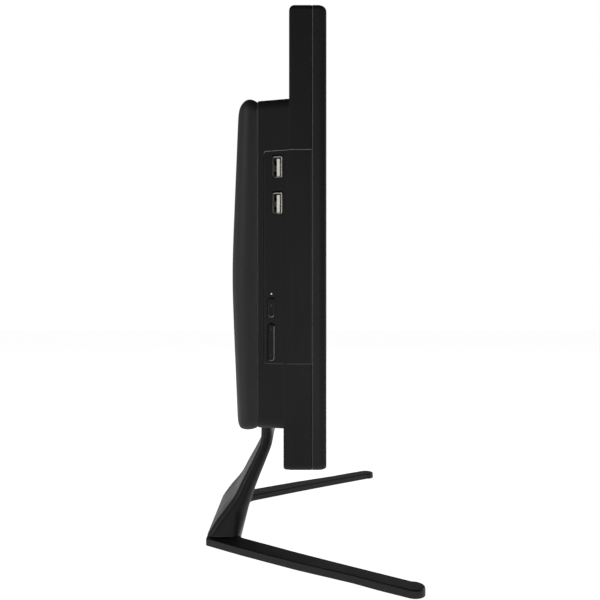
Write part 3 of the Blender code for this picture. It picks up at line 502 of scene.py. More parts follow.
front_rings = [bezel_ring(0.42, Y_SEAM - 0.05), bezel_ring(0.0, Y_SEAM - 0.50)]
for k in range(10):
    phi = math.radians(90 * k / 9)
    front_rings.append(
        bezel_ring(2.6 * (1 - math.cos(phi)), Y_FRONT + 5.0 * (1 - math.sin(phi)), 0.6, 1.2)
    )
# The first band, the chamfer at the seam, gets the lighter edge plastic as a painted highlight.
bezel = loft("vis_front_bezel", front_rings, band=[1] + [0] * 20)
combine(
    bezel,
    [
        loft(
            "window",
            [
                [(u, y, v) for u, v in round_rect(-SCREEN_W / 2 - g, SCREEN_W / 2 + g, SCREEN_Z0 - g, SCREEN_Z0 + SCREEN_H + g, 0.8 + g, 5)]
                for g, y in ((1.9, Y_FRONT - 0.4), (0.0, Y_FRONT + 1.5), (0.0, 10.0))
            ],
        ),
    ],
)
combine(
    bezel,
    [
        box("pocket", (-HALF_W + WALL, HALF_W - WALL), (Y_FRONT + 2.2, 10), (Z_LOW + WALL, Z_TOP - WALL)),
        turned("webcam", [(-14.0, 3.2), (Y_FRONT + 0.01, 2.9), (Y_FRONT + 0.5, 2.3), (5.0, 2.3)], "Y", (0, 375.2)),
        turned("mic_left", [(-14.0, 0.45), (5.0, 0.45)], "Y", (-24, 375.2), 16),
        turned("mic_right", [(-14.0, 0.45), (5.0, 0.45)], "Y", (24, 375.2), 16),
    ],
)
finish_piece(bezel, "front_bezel", "head", [FRONT, EDGE_HIGHLIGHT])

glass = box("vis_screen", (-221, 221), (-6.9, -5.8), (112, 371))
combine(glass, [turned("sensor", [(-9, 0.6), (-6.7, 0.6)], "Y", (-218.5, 115), 12)])
chamfer(glass, 0.25, 2)
finish_piece(glass, "lcd_glass", "head", [SCREEN])

lens = turned(
    "vis_webcam_lens",
    [(-3.7, 1.85), (-8.0, 1.85), (-8.3, 1.7), (-8.1, 1.3), (-8.45, 1.0), (-8.65, 0.6), (-8.72, 0.0)],
    "Y",
    (0, 375.2),
    32,
)
finish_piece(lens, "webcam_lens", "head", [LENS])

# ------------------------------------------------------------------ rear housing
top_arc = [
    (Y_BACK_UP - 5.4 * (1 - math.cos(math.radians(a))), Z_TOP - 4.8 * (1 - math.sin(math.radians(a))))
    for a in range(0, 91, 10)
]
low_arc = [
    (Y_BACK_LOW - 3.2 * (1 - math.cos(math.radians(a))), Z_LOW + 2.2 * (1 - math.sin(math.radians(a))))
    for a in range(90, -1, -10)
]
slab_outline = (
    [(Y_SEAM, Z_LOW + 0.40), (Y_SEAM + 0.45, Z_LOW)]
    + low_arc
    + [(Y_BACK_LOW, 205), (Y_BACK_LOW - 0.5, 208), (Y_BACK_UP + 0.5, 222), (Y_BACK_UP, 225)]
    + top_arc
    + [(Y_SEAM + 0.45, Z_TOP), (Y_SEAM, Z_TOP - 0.40)]
)
housing = prism("vis_rear_housing", slab_outline, "X", -HALF_W - 1, HALF_W + 1)
combine(
    housing,
    [
        loft(
            "tray",
            [
                [(u, y, v) for u, v in round_rect(-HALF_W + g, HALF_W - g, Z_LOW, Z_TOP, SLAB_R, 12)]
                for g, y in ((0.40, Y_SEAM - 0.01), (0.0, Y_SEAM + 0.45), (0.0, 14.0 - 3.5), (0.35, 12.0), (0.9, 12.9), (1.6, 40.0))
            ],
        )
    ],
    "INTERSECT",
)


def bulge_ring(half, y, inset=0.0, r=7.5, per_corner=12):
    return [
        (u, y, v)
        for u, v in round_rect(
            -half + inset, half - inset, BULGE_Z0 + inset, BULGE_Z1 - inset, r, per_corner
        )
    ]


slope = (BULGE_X0 - BULGE_X1) / (Y_COVER - Y_BACK_UP)
bulge = loft(
    "bulge",
    [
        bulge_ring(BULGE_X0 - 0.05, 6.0),
        bulge_ring(BULGE_X0 - 0.05, Y_BACK_UP + 0.6),
        bulge_ring(BULGE_X1 + slope * 0.75, Y_COVER - 0.05 - 0.5),
        bulge_ring(BULGE_X1, Y_COVER - 0.05, 0.42),
    ],
)
combine(housing, [bulge], "UNION")


def hollow_ring(half, y):
    return [
        (u, y, v)
        for u, v in round_rect(-half, half, BULGE_Z0 + WALL, BULGE_Z1 - WALL, 4.0, 5)
    ]


combine(
    housing,
    [
        box("hollow_low", (-HALF_W + WALL, HALF_W - WALL), (-20, Y_BACK_LOW - WALL), (Z_LOW + WALL, 200)),
        box("hollow_high", (-HALF_W + WALL, HALF_W - WALL), (-20, Y_BACK_UP - WALL), (190, Z_TOP - WALL)),
    ],
)
combine(
    housing,
    [
        loft(
            "hollow_bulge",
            [
                hollow_ring(BULGE_X0 - WALL, 5.0),
                hollow_ring(BULGE_X0 - WALL, 9.0),
                hollow_ring(BULGE_X1 - WALL, 50.0),
            ],
        )
    ],
)
panel_end_y = Y_BACK_UP + PANEL_REAR * math.cos(LEAN)
PORTS = {
    "hdmi_port": (-118.0, 7.6, 5.6, 11.0),
    "lan_port": (-92.0, 8.0, 11.6, 15.0),
    "rear_usb_port_1": (-66.0, 6.55, 5.7, 13.5),
    "rear_usb_port_2": (-47.5, 6.55, 5.7, 13.5),
}
PORT_Y = 17.3
DC_X, AUDIO_X = -141.0, -28.0


def panel_window(grow, x0, x1, name):
    outline = round_rect(-16.0, panel_end_y + grow, PANEL_Z0 - grow, PANEL_Z1 + grow, 1.6, 7)
    return prism(name, outline, "X", x0, x1)


combine(
    housing,
    [panel_window(-0.14, -HALF_W - 5, -224.0, "panel_window")]
    + [
        prism(
            name + "_window",
            round_rect(x - hw - 0.3, x + hw + 0.3, PORT_Y - 0.3, PORT_Y + h + 0.3, 0.6, 4),
            "Z",
            BULGE_Z0 - 3,
            BULGE_Z0 + 5,
        )
        for name, (x, hw, h, d) in PORTS.items()
    ]
    + [
        turned("dc_window", [(124.0, 4.9), (134.0, 4.9)], "Z", (DC_X, 22.6)),
        turned("audio_window", [(124.0, 3.4), (134.0, 3.4)], "Z", (AUDIO_X, 20.6)),
    ]
    + [
        prism(f"speaker_slot_{sx}_{k}", stadium(sx * (152.0 + 6.0 * k), 7.75, 1.0, 4.25, 6), "Z", 100, 108.5)
        for sx in (-1, 1)
        for k in range(8)
    ],
)
# The strip along the rear seam gets the lighter edge plastic as a painted highlight.
for p in housing.data.polygons:
    c, normal = p.center / MM, p.normal
    near_rear = Y_COVER - 0.6 < c.y < Y_COVER - 0.04 and 0.3 < abs(normal.y) < 0.95
    p.material_index = 1 if near_rear else 0
finish_piece(housing, "rear_housing", "head", [BLACK, EDGE_HIGHLIGHT])


# ------------------------------------------------------------------ rear cover
def hump(z):
    t = (z - RIDGE_Z) / 100.0
    return COVER_RIDGE * max(0.0, 1.0 - (math.sqrt(t * t + 0.03) - 0.1732))


def cover_ring(out_x, out_z, y, share, out_low, corner=9.0):
    """out_x, out_z and out_low are how far the ring stands out past the housing at the sides, the top and the bottom."""
    x1 = BULGE_X1 + out_x
    z0, z1 = BULGE_Z0 - out_low, BULGE_Z1 + out_z
    r = max(corner + (out_x + out_z) / 2, 3.0)
    low = max(r - 2.5, 2.5)
    right = []
    for k in range(9):
        t = math.radians(-90 + 90 * k / 8)
        right.append((x1 - low + low * math.cos(t), z0 + low + low * math.sin(t)))
    for k in range(1, 26):
        right.append((x1, z0 + low + (z1 - z0 - low - r) * k / 26))
    for k in range(9):
        t = math.radians(90 * k / 8)
        right.append((x1 - r + r * math.cos(t), z1 - r + r * math.sin(t)))
    return [(x, y + share * hump(z), z) for x, z in right] + [
        (-x, y + share * hump(z), z) for x, z in reversed(right)
    ]


def refine(steps, factor):
    """A smooth curve (Catmull-Rom) through the steps of a section."""
    out = []
    n = len(steps)
    for i in range(n - 1):
        p0, p1, p2, p3 = (steps[max(i - 1, 0)], steps[i], steps[i + 1], steps[min(i + 2, n - 1)])
        for k in range(factor):
            t = k / factor
            out.append(
                tuple(
                    0.5
                    * (
                        2 * b
                        + (c - a) * t
                        + (2 * a - 5 * b + 4 * c - d) * t * t
                        + (3 * b - a - 3 * c + d) * t**3
                    )
                    for a, b, c, d in zip(p0, p1, p2, p3)
                )
            )
    out.append(steps[-1])
    return out


COVER_STEPS = [
    (-0.05, 0.0, 32.0, 0.0, 0.0),
    (-0.3, 1.4, 34.2, 0.1, 0.9),
    (-1.1, 2.0, 36.6, 0.25, 1.4),
    (-2.9, 1.4, 39.0, 0.45, 1.4),
    (-6.5, -0.9, 41.4, 0.7, 0.6),
    (-12.5, -4.8, 43.1, 0.9, -1.8),
    (-21.0, -11.0, COVER_BACK, 1.0, -7.0),
]
HOLLOW_STEPS = [
    (-2.7, -2.7, 20.0, 0.0, -2.7),
    (-2.5, -0.9, 34.2, 0.1, -1.3),
    (-3.5, -0.4, 36.4, 0.25, -0.9),
    (-5.6, -1.2, 38.0, 0.45, -1.1),
    (-9.0, -3.6, 39.6, 0.7, -2.4),
    (-14.5, -7.4, 41.0, 0.9, -5.0),
    (-23.0, -13.4, COVER_BACK - COVER_WALL, 1.0, -9.5),
]


def cover_body(name, steps, band=None):
    bm = bmesh.new()
    loops = [[bm.verts.new(Vector(p) * MM) for p in cover_ring(*step)] for step in steps]
    count = len(loops[0])
    for k, (a, b) in enumerate(zip(loops, loops[1:])):
        for i in range(count):
            face = bm.faces.new((a[i], a[(i + 1) % count], b[(i + 1) % count], b[i]))
            if band:
                face.material_index = band[min(k, len(band) - 1)]
    for end in (loops[0], loops[-1]):
        for i in range(count // 2 - 1):
            bm.faces.new((end[i], end[i + 1], end[count - 2 - i], end[count - 1 - i]))
    return new_object(name, bm)


# The first band, at the seam, gets the lighter edge plastic as a painted highlight.
cover = cover_body(
    "vis_rear_cover", [(-0.5, -0.45, 31.55, 0.0, -0.45)] + refine(COVER_STEPS, 3), band=[1, 0]
)
combine(cover, [cover_body("cover_hollow", HOLLOW_STEPS)])
notch_outline = [(-NOTCH_X, 110.0), (NOTCH_X, 110.0)] + [
    (NOTCH_X - 4 + 4 * math.cos(math.radians(a)), NOTCH_Z - 4 + 4 * math.sin(math.radians(a)))
    for a in range(0, 91, 15)
] + [
    (-NOTCH_X + 4 + 4 * math.cos(math.radians(a)), NOTCH_Z - 4 + 4 * math.sin(math.radians(a)))
    for a in range(90, 181, 15)
]
combine(
    cover,
    [prism("notch", notch_outline, "Y", 25, 60)]
    + [prism(f"outlet_{k}", stadium(-154.0 + 11.0 * k, 296.0, 1.5, 8.0, 6), "Y", 25, 60) for k in range(29)]
    + [prism(f"intake_{k}", stadium(FAN_X - 28.0 + 8.0 * k, 240.0, 1.5, 16.0, 6), "Y", 25, 60) for k in range(8)]
    + [turned(f"screw_hole_{k}", [(25.0, 1.8), (60.0, 1.8)], "Y", p, 24) for k, p in enumerate(SCREWS)],
)
finish_piece(cover, "rear_cover", "head", [COVER, EDGE_HIGHLIGHT], sharp=34)


# The cover's locating lip, which closes the seam from inside.
def lip_ring(inset, y):
    return [
        (u, y, v)
        for u, v in round_rect(
            -BULGE_X1 + inset, BULGE_X1 - inset, BULGE_Z0 + inset, BULGE_Z1 - inset, 7.0 - inset, 8
        )
    ]


lip = loft("vis_cover_lip", [lip_ring(2.75, 29.0), lip_ring(2.55, 29.4), lip_ring(2.4, 33.6)])
combine(lip, [loft("lip_hole", [lip_ring(3.9, 27.0), lip_ring(3.9, 36.0)])])
combine(lip, [prism("lip_notch", notch_outline, "Y", 25, 60)])
finish_piece(lip, None, "head", [COVER], sharp=34)


def cross_head(name, centre, face, out, head_r, height, shank_r, shank_end, axis):
    """A screw with a domed head, a cross recess and a shank. out is +1 or -1, the way its head faces."""
    profile = [
        (shank_end, shank_r * 0.7),
        (shank_end + out * 0.8, shank_r),
        (face, shank_r),
        (face, head_r * 0.92),
        (face + out * 0.12 * height, head_r),
        (face + out * 0.55 * height, head_r * 0.94),
        (face + out * 0.85 * height, head_r * 0.74),
        (face + out * 0.98 * height, head_r * 0.45),
        (face + out * height, 0.0),
    ]
    screw = turned(name, profile, axis, centre, 40)
    top, deep = face + out * (height + 1), face + out * (height - 1.1)
    arms = []
    for k, turn in enumerate((45, 135)):
        c, s = math.cos(math.radians(turn)), math.sin(math.radians(turn))
        a, b = head_r * 0.52, head_r * 0.13
        outline = [
            (centre[0] + u * c - v * s, centre[1] + u * s + v * c)
            for u, v in ((-a, -b), (a, -b), (a, b), (-a, b))
        ]
        arms.append(prism(f"arm_{k}", outline, axis, min(top, deep), max(top, deep)))
    combine(arms[0], [arms[1]], "UNION")
    combine(screw, [arms[0]])
    return screw


for k, (x, z) in enumerate(SCREWS):
    y = COVER_BACK + hump(z) + 0.5
    screw = cross_head(f"vis_cover_screw_{k + 1}", (x, z), y, 1, 2.9, 1.7, 1.4, 26.0, "Y")
    finish_piece(screw, f"cover_screw_{k + 1}", "head", [SCREW])

# ------------------------------------------------------------------ side panel
cl, sl = math.cos(LEAN), math.sin(LEAN)


def lean(x, y):
    return (-BULGE_X0 + x * cl + y * sl, Y_BACK_UP - x * sl + y * cl)


side = prism(
    "vis_side_panel",
    [
        (-HALF_W, Y_SEAM + 0.12),
        (-HALF_W, Y_BACK_UP - 2.6),
        (-HALF_W + 0.08, Y_BACK_UP - 1.5),
        (-HALF_W + 0.36, Y_BACK_UP - 0.4),
        (-HALF_W + 0.76, Y_BACK_UP + 0.4),
        (-HALF_W + 1.18, Y_BACK_UP + 1.2),
        lean(0.02, 2.2),
        lean(0.0, 3.4),
        lean(0.0, PANEL_REAR - 0.3),
        lean(PANEL_T, PANEL_REAR - 0.3),
        lean(PANEL_T, 0.0),
        (-HALF_W + PANEL_T, Y_BACK_UP - 2.4),
        (-HALF_W + PANEL_T, Y_SEAM + 0.12),
    ],
    "Z",
    PANEL_Z0 + 0.2,
    PANEL_Z1 - 0.2,
)
combine(side, [panel_window(-0.24, -250, -220, "panel_round")], "INTERSECT")


def in_panel(name, outline, x0, x1):
    return prism(name, outline, "X", x0, x1, LEAN_FRAME)


combine(
    side,
    [
        in_panel("key_hole", stadium(BUTTON_Y, BUTTON_Z, BUTTON_HALF[0] + 0.25, BUTTON_HALF[1] + 0.25), -4, 6),
        in_panel("rocker_hole", stadium(BUTTON_Y, ROCKER_Z, ROCKER_HALF[0] + 0.25, ROCKER_HALF[1] + 0.25), -4, 6),
    ],
)
tidy(side)
# The chamfers get the lighter edge plastic as a painted highlight.
for m in (PANEL, EDGE_HIGHLIGHT, RIDGE_HIGHLIGHT):
    side.data.materials.append(m)
chamfer(side, 0.40, 3, 40, material=1, clamp=False)
baked(side)
combine(
    side,
    [
        in_panel(f"usb_{k}", round_rect(USB_Y - 3.2, USB_Y + 3.2, z - 6.95, z + 6.95, 1.0, 5), -4, 6)
        for k, z in enumerate(USB_Z)
    ]
    + [turned("led_hole", [(-4, 0.62), (1.2, 0.62), (1.25, 1.15), (6, 1.15)], "X", (LED_Y, LED_Z), 24, LEAN_FRAME)],
)
# Painted highlights on the chamfers: the brightest on the top edge, a fainter one on the sides, the edge plastic on the
# bottom; the key holes' edges go back to the panel plastic.
for p in side.data.polygons:
    if p.material_index != 1:
        continue
    z, y = p.center.z / MM, p.center.y / MM
    inside = PANEL_Z0 + 1.0 < z < PANEL_Z1 - 1.0 and Y_SEAM + 1.0 < y < panel_end_y - 1.2
    if inside:
        p.material_index = 0
    elif z > PANEL_Z1 - 2.4:
        p.material_index = 2
    elif z > PANEL_Z0 + 0.8:
        p.material_index = 3
finish_piece(side, "side_panel", "head", [PANEL, EDGE_HIGHLIGHT, RIDGE_HIGHLIGHT, SOFT_HIGHLIGHT], sharp=40)

# ------------------------------------------------------------------ sockets on the side
for label, z in zip(("upper", "lower"), USB_Z):
    shell = in_panel(
        "vis_usb_shell_" + label, round_rect(USB_Y - 2.85, USB_Y + 2.85, z - 6.55, z + 6.0, 0.8, 6), 0.3, 14.0
    )
    combine(shell, [in_panel("cavity", round_rect(USB_Y - 2.42, USB_Y + 2.55, z - 6.25, z + 5.60, 0.45, 6), -0.2, 13.6)])
    combine(
        shell,
        [
            in_panel(f"spring_{i}", round_rect(USB_Y + 1.5, USB_Y + 4.0, z + dz - 1.3, z + dz + 1.3, 0.3, 3), 3.0, 8.5)
            for i, dz in enumerate((-3.0, 3.0))
        ],
    )
    shell.data.materials.append(NICKEL)
    shell.data.materials.append(NICKEL_HIGHLIGHT)
    chamfer(shell, 0.10, 2, 50, material=1, clamp=False)
    baked(shell)
    # The shell's front lip is painted: a highlight on the top and the front side, a shade on the rear side and the
    # bottom.
    back = LEAN_FRAME.inverted()
    for p in shell.data.polygons:
        c = back @ p.center / MM
        if c.x < 0.45:
            rear = c.y > USB_Y + 2.3 or c.z < z - 6.1
            p.material_index = 2 if rear else 1
    finish_piece(shell, f"usb_shell_{label}", "head", [NICKEL, NICKEL_HIGHLIGHT, NICKEL_SHADE])
    tongue = in_panel("vis_usb_tongue_" + label, round_rect(6.05, 7.85, z - 5.75, z + 4.75, 0.3, 4), 1.1, 12.0)
    combine(tongue, [in_panel("root", round_rect(USB_Y - 2.0, USB_Y + 2.2, z - 5.9, z + 5.2, 0.3, 3), 10.5, 13.3)], "UNION")
    contacts = (-4.0, -1.6, 0.6, 3.0)
    combine(
        tongue,
        [
            in_panel(f"groove_{i}", round_rect(5.6, 6.25, z + dz - 0.62, z + dz + 0.62, 0.05, 2), 2.4, 9.5)
            for i, dz in enumerate(contacts)
        ],
    )
    chamfer(tongue, 0.12, 2)
    finish_piece(tongue, f"usb_tongue_{label}", "head", [WHITE])
    for i, dz in enumerate(contacts):
        contact = in_panel(
            f"vis_usb_contact_{label}_{i}", round_rect(5.98, 6.2, z + dz - 0.5, z + dz + 0.5, 0.08, 3), 3.0, 9.2
        )
        finish_piece(contact, None, "head", [GOLD])

# ------------------------------------------------------------------ LED and keys
led = turned("vis_status_led", [(0.0, 0.15), (0.06, 0.38), (0.2, 0.5), (1.3, 0.5), (1.5, 0.75), (6.0, 0.75)], "X", (LED_Y, LED_Z), 24, LEAN_FRAME)
combine(led, [box("led_body", (4.5, 7.5), (4.4, 12.6), (LED_Z - 1.6, LED_Z + 1.6), LEAN_FRAME)], "UNION")
finish_piece(led, "status_led", "head", [LED])


def key(name, half, z, flange_x, back_x):
    """A crowned key with a flange behind the panel."""
    rings = []
    for x, g in ((-0.35, 0.80), (-0.33, 0.56), (-0.22, 0.30), (0.0, 0.08), (0.35, 0.0)):
        rings.append([(x, u, v) for u, v in stadium(BUTTON_Y, z, half[0] - g, half[1] - g)])
    for x, g in (
        (flange_x[0], 0.0),
        (flange_x[0] + 0.01, -1.1),
        (flange_x[1], -1.1),
        (flange_x[1] + 0.01, 0.0),
        (back_x, 0.0),
    ):
        rings.append([(x, u, v) for u, v in stadium(BUTTON_Y, z, half[0] - g, half[1] - g)])
    piece = loft(name, rings, LEAN_FRAME)
    back = LEAN_FRAME.inverted()
    # The rim faces get painted highlights: on the rocker the lower cap and the front side, on the power key the lower
    # cap brightest and the sides fainter; the top stays plain.
    for p in piece.data.polygons:
        c = back @ p.center / MM
        rim = c.x < 0.40 and math.hypot(c.y - BUTTON_Y, max(abs(c.z - z) - (half[1] - half[0]), 0.0)) > half[0] - 0.34
        if not rim:
            continue
        low_cap = c.z < z - half[1] + 1.15
        front = c.y < BUTTON_Y - 1.3
        if half[1] > 8:
            p.material_index = 3 if low_cap else 2 if front and c.z < z + half[1] - 1.5 else 0
        else:
            p.material_index = 2 if low_cap else 1 if c.z < z + half[1] - 1.0 else 0
    return piece


def mark(name, outline, body):
    """A thin printed mark on a key."""
    piece = in_panel(name, outline, -0.352, -0.30)
    return finish_piece(piece, None, body, [PRINT], weighted=False)


power = key("vis_power_button", BUTTON_HALF, BUTTON_Z, (2.4, 3.4), 4.8)
finish_piece(power, "power_button", "power_key", [KEY, EDGE_HIGHLIGHT, RIDGE_HIGHLIGHT, CAP_HIGHLIGHT], sharp=50)
ring_outer = [(BUTTON_Y + 0.62 * math.cos(a), BUTTON_Z + 1.2 + 0.62 * math.sin(a)) for a in [math.radians(125 + 290 * k / 20) for k in range(21)]]
ring_inner = [(BUTTON_Y + 0.44 * math.cos(a), BUTTON_Z + 1.2 + 0.44 * math.sin(a)) for a in [math.radians(125 + 290 * k / 20) for k in range(21)]]
mark("vis_power_mark_ring", ring_outer + ring_inner[::-1], "power_key")
mark("vis_power_mark_bar", [(BUTTON_Y - 0.08, BUTTON_Z + 1.3), (BUTTON_Y + 0.08, BUTTON_Z + 1.3), (BUTTON_Y + 0.08, BUTTON_Z + 2.0), (BUTTON_Y - 0.08, BUTTON_Z + 2.0)], "power_key")

rocker = key("vis_volume_rocker", ROCKER_HALF, ROCKER_Z, (2.8, 3.8), 4.4)
finish_piece(rocker, "volume_rocker", "rocker_key", [KEY, EDGE_HIGHLIGHT, RIDGE_HIGHLIGHT, CAP_HIGHLIGHT], sharp=50)
for k, dz in enumerate((7.6, -7.6)):
    z = ROCKER_Z + dz
    mark(f"vis_rocker_mark_{k}", [(BUTTON_Y - 0.55, z - 0.09), (BUTTON_Y + 0.55, z - 0.09), (BUTTON_Y + 0.55, z + 0.09), (BUTTON_Y - 0.55, z + 0.09)], "rocker_key")
z = ROCKER_Z + 7.6
mark("vis_rocker_mark_2", [(BUTTON_Y - 0.09, z - 0.55), (BUTTON_Y + 0.09, z - 0.55), (BUTTON_Y + 0.09, z + 0.55), (BUTTON_Y - 0.09, z + 0.55)], "rocker_key")

# ------------------------------------------------------------------ stand bay and hinge
bay = prism(
    "vis_stand_bay",
    [
        (NOTCH_X + 0.4, 138.0),
        (NOTCH_X + 1.9, 138.0),
        (NOTCH_X + 1.9, NOTCH_Z + 1.9),
        (-NOTCH_X - 1.9, NOTCH_Z + 1.9),
        (-NOTCH_X - 1.9, 138.0),
        (-NOTCH_X - 0.4, 138.0),
        (-NOTCH_X - 0.4, NOTCH_Z + 0.4),
        (NOTCH_X + 0.4, NOTCH_Z + 0.4),
    ],
    "Y",
    31.0,
    40.4,
)
chamfer(bay, 0.3, 2)
finish_piece(bay, "stand_bay", "head", [BLACK])

bracket = box("vis_hinge_bracket", (-36, 36), (28.4, 30.4), (132.8, 163.0))
ears = []
for x0, x1 in ((-31.0, -29.0), (29.0, 31.0)):
    outline = [(29.0, PIN_Z - 6.2), (PIN_Y, PIN_Z - 6.2)] + [
        (PIN_Y + 5.6 * math.cos(math.radians(a)), PIN_Z + 6.2 * math.sin(math.radians(a)))
        for a in range(-80, 81, 10)
    ] + [(PIN_Y, PIN_Z + 6.2), (29.0, PIN_Z + 6.2)]
    ears.append(prism("ear", outline, "X", x0, x1))
combine(bracket, ears, "UNION")
combine(
    bracket,
    [turned("ear_bore", [(-50, 2.9), (50, 2.9)], "X", (PIN_Y, PIN_Z))]
    + [turned(f"plate_hole_{i}", [(25, 1.6), (33, 1.6)], "Y", (x, 158.0), 20) for i, x in enumerate((-28, -10, 10, 28))],
)
chamfer(bracket, 0.25, 2)
finish_piece(bracket, "hinge_bracket", "head", [STEEL])

pin = turned(
    "vis_hinge_pin",
    [(-34.0, 3.4), (-33.6, 4.0), (-33.2, 4.2), (-31.6, 4.2), (-31.4, 4.0), (-31.4, 2.5), (31.4, 2.5), (31.4, 4.0), (31.6, 4.2), (33.2, 4.2), (33.6, 4.0), (34.0, 3.4)],
    "X",
    (PIN_Y, PIN_Z),
    40,
)
combine(pin, [prism(f"hex_{i}", circle(1.7, 6, PIN_Y, PIN_Z), "X", a, b) for i, (a, b) in enumerate(((-36, -32.4), (32.4, 36)))])
finish_piece(pin, "hinge_pin", "head", [STEEL])

# ------------------------------------------------------------------ stand arm
ARM = [
    (6.6, 64.4, 57.0, 85.0),
    (9.0, 63.6, 56.2, 83.9),
    (20.0, 59.4, 52.6, 76.3),
    (35.0, 53.8, 47.8, 64.4),
    (50.0, 48.5, 42.3, 56.3),
    (65.0, 43.5, 36.1, 48.1),
    (77.0, 39.4, 31.3, 42.3),
    (83.0, 37.4, 29.9, 40.5),
    (90.0, 35.8, 29.7, 40.1),
    (98.0, 35.0, 31.4, 40.1),
    (106.0, 35.0, 32.7, 40.1),
    (133.0, 35.0, 32.8, 40.1),
]


def arm_ring(z, half_x, y0, y1, inset=0.0):
    width = y1 - y0
    rear = min(0.42 * width, 6.5)
    front = min(0.56 * width, 6.0 + max(0.0, z - 9.0) * 0.35)
    points = []
    for sign_x, cy, r, start in (
        (1, y0 + front, front, -90),
        (1, y1 - rear, rear, 0),
        (-1, y1 - rear, rear, 90),
        (-1, y0 + front, front, 180),
    ):
        cx = sign_x * (half_x - r)
        for k in range(12):
            t = math.radians(start + 90 * k / 11)
            points.append((cx + (r - inset) * math.cos(t), cy + (r - inset) * math.sin(t), z))
    return points


sections = refine(ARM, 5)
arm_rings = [arm_ring(*sections[0], 0.5), arm_ring(sections[0][0] + 0.35, *sections[0][1:], 0.12)]
arm_rings += [arm_ring(*s) for s in sections[1:-1]]
arm_rings += [arm_ring(132.3, *sections[-1][1:]), arm_ring(132.8, *sections[-1][1:], 0.2), arm_ring(133.0, *sections[-1][1:], 0.6)]
arm = loft("vis_stand_arm", arm_rings)
combine(
    arm,
    [
        box("web", (-25.0, 25.0), (35.0, 39.8), (130.0, 141.0)),
        turned(
            "barrel",
            [(-27.3, 4.6), (-26.9, 5.1), (-26.4, 5.2), (26.4, 5.2), (26.9, 5.1), (27.3, 4.6)],
            "X",
            (PIN_Y, PIN_Z),
            40,
        ),
    ],
    "UNION",
)
ARM_SCREWS = [(-42.0, 69.5), (0.0, 69.5), (42.0, 69.5)]
combine(
    arm,
    [turned("pin_bore", [(-50, 2.9), (50, 2.9)], "X", (PIN_Y, PIN_Z))]
    + [turned(f"thread_{i}", [(0, 2.4), (17, 2.4)], "Z", p, 24) for i, p in enumerate(ARM_SCREWS)],
)
finish_piece(arm, "stand_arm", "stand", [PAINT], sharp=38)


# ------------------------------------------------------------------ stand base
def arc(cx, cy, r, start, end, n):
    return [
        (
            cx + r * math.cos(math.radians(start + (end - start) * k / n)),
            cy + r * math.sin(math.radians(start + (end - start) * k / n)),
        )
        for k in range(n + 1)
    ]


right_half = (
    [(0.0, 57.0), (54.0, 57.0), (58.0, 56.8), (61.0, 55.8), (63.0, 54.4), (64.5, 53.0)]
    + [(81.0, 30.0), (97.8, 7.0), (113.0, -15.0), (128.0, -37.0)]
    + arc(161.6, -74.2, 8.3, 182, 387, 24)
    + [(156.0, -50.0), (144.0, -33.0), (132.4, -13.4), (120.4, 7.0), (105.0, 30.2), (89.0, 54.0)]
    + arc(64.4, 81.3, 4.0, 34, 90, 6)
    + [(0.0, 85.3)]
)
outline = right_half + [(-x, y) for x, y in reversed(right_half[1:-1])]
outline = [(x, min(max(y, base_lo.y - DY), base_hi.y - DY)) for x, y in outline]
Z0, Z1 = base_lo.z, base_hi.z
base = prism("vis_stand_base", outline, "Z", Z0, Z1)
tidy(base)
chamfer(base, 0.45, 2, 50)
weight = base.vertex_groups.new(name="top")
weight.add([v.index for v in base.data.vertices if v.co.z > (Z0 + Z1) / 2 * MM], 1.0, "REPLACE")
base.modifiers["bevel"].limit_method = "VGROUP"
base.modifiers["bevel"].vertex_group = "top"
base.modifiers["bevel"].width = 1.3 * MM
base.modifiers["bevel"].segments = 5
baked(base)
base.vertex_groups.clear()
FEET = [(-159.5, -71.0), (159.5, -71.0), (-63.0, 69.5), (63.0, 69.5)]
combine(
    base,
    [turned(f"foot_pocket_{i}", [(-5, 5.8), (2.8, 5.8)], "Z", p) for i, p in enumerate(FEET)]
    + [turned(f"screw_recess_{i}", [(-5, 4.4), (3.5, 4.4)], "Z", p) for i, p in enumerate(ARM_SCREWS)],
)
combine(base, [turned(f"screw_way_{i}", [(2, 2.4), (12, 2.4)], "Z", p, 24) for i, p in enumerate(ARM_SCREWS)])
finish_piece(base, "stand_base", "stand", [PAINT], sharp=35)

for name, (x, y) in zip(("foot_front_left", "foot_front_right", "foot_rear_left", "foot_rear_right"), FEET):
    foot = turned(
        "vis_" + name,
        [(2.5, 5.3), (0.7, 5.2), (0.3, 5.05), (0.08, 4.7), (0.0, 4.2), (0.0, 3.4), (0.25, 3.1), (0.3, 0.0)],
        "Z",
        (x, y),
        40,
    )
    finish_piece(foot, name, "stand", [RUBBER])
for i, p in enumerate(ARM_SCREWS):
    screw = cross_head(f"vis_arm_screw_{i + 1}", p, 3.2, -1, 3.9, 2.1, 2.0, 15.5, "Z")
    finish_piece(screw, f"arm_screw_{i + 1}", "stand", [SCREW])

# ------------------------------------------------------------------ floor, light and camera
floor_mesh = bpy.data.meshes.new("floor")
floor_bm = bmesh.new()
bmesh.ops.create_grid(floor_bm, x_segments=8, y_segments=8, size=6.0)
floor_bm.to_mesh(floor_mesh)
floor_bm.free()
floor = bpy.data.objects.new("floor", floor_mesh)
bpy.context.scene.collection.objects.link(floor)
fm = Nodes("floor_paper")
fm.link(fm.mix(fm.ramp(fm.noise(2.0, 4.0), 0.0, 1.0), (0.93, 0.93, 0.93), (0.95, 0.95, 0.95)), fm.bsdf.inputs["Base Color"])
fm.link(fm.ramp(fm.noise(40.0, 3.0), 0.85, 0.95), fm.bsdf.inputs["Roughness"])
fm.link(fm.bump(fm.noise(800.0, 2.0), 0.03, 0.0002), fm.bsdf.inputs["Normal"])
fm.bsdf.inputs["Specular IOR Level"].default_value = 0.1
fm.bsdf.inputs["Emission Color"].default_value = (1.0, 1.0, 1.0, 1.0)
seen = fm.add("ShaderNodeLightPath")
fm.link(fm.ramp(seen.outputs["Is Camera Ray"], 0.62, 0.95, 0.0, 1.0), fm.bsdf.inputs["Emission Strength"])
floor_mesh.materials.append(fm.mat)

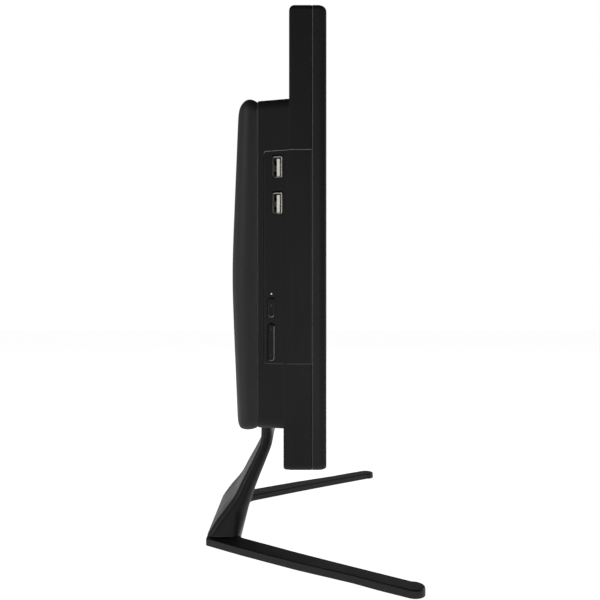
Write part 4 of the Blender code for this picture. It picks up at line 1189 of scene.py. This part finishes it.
world = bpy.data.worlds.new("studio")
bpy.context.scene.world = world
world.use_nodes = True
tree = world.node_tree
background = tree.nodes["Background"]
background.inputs["Color"].default_value = (1.0, 1.0, 1.0, 1.0)
path = tree.nodes.new("ShaderNodeLightPath")
strength = tree.nodes.new("ShaderNodeMapRange")
strength.inputs["To Min"].default_value = 0.035
strength.inputs["To Max"].default_value = 1.0
tree.links.new(path.outputs["Is Camera Ray"], strength.inputs["Value"])
tree.links.new(strength.outputs[0], background.inputs["Strength"])


def softbox(name, place, target, size, power):
    light = bpy.data.lights.new(name, "AREA")
    light.shape = "RECTANGLE"
    light.size, light.size_y = size
    light.energy = power
    lamp = bpy.data.objects.new(name, light)
    lamp.location = place
    lamp.rotation_euler = (Vector(target) - Vector(place)).to_track_quat("-Z", "Y").to_euler()
    bpy.context.scene.collection.objects.link(lamp)
    return lamp


softbox("back_far", (0.9, 1.5, 0.35), (0, 0.03, 0.2), (0.8, 1.2), 1.4)
softbox("back_near", (-0.5, 1.3, 0.65), (0, 0.03, 0.2), (0.5, 1.2), 4.5)
softbox("front_far", (0.9, -1.5, 0.55), (0, 0, 0.2), (0.8, 1.2), 9.0)
softbox("fill", (-1.8, 0.30, 0.32), (0, 0, 0.2), (1.0, 0.8), 3.9)
softbox("backdrop", (2.2, 0.2, 0.95), (0, 0, 0.15), (2.4, 1.0), 2.0)
softbox("front_edge", (-0.15, -1.6, 0.45), (0, 0, 0.22), (0.5, 1.2), 2.0)

bpy.context.scene.view_settings.view_transform = "Standard"

# The camera looks along +X, level, at the side of the machine.
U0, V0, FOCAL, DISTANCE, EYE = 298.0, 310.0, 657.0, 623.5, 200.0
camera_data = bpy.data.cameras.new("camera")
camera_data.sensor_fit = "HORIZONTAL"
camera_data.sensor_width = 36.0
camera_data.lens = FOCAL / 600.0 * 36.0
camera_data.shift_x = (300.0 - U0) / 600.0
camera_data.shift_y = (V0 - 300.0) / 600.0
camera_data.clip_start = 0.01
camera = bpy.data.objects.new("camera", camera_data)
bpy.context.scene.collection.objects.link(camera)
camera.location = (-DISTANCE * MM, (7.0 + DY) * MM, EYE * MM)
camera.rotation_euler = (math.radians(90), 0, math.radians(-90))
bpy.context.scene.camera = camera

bpy.context.view_layer.update()
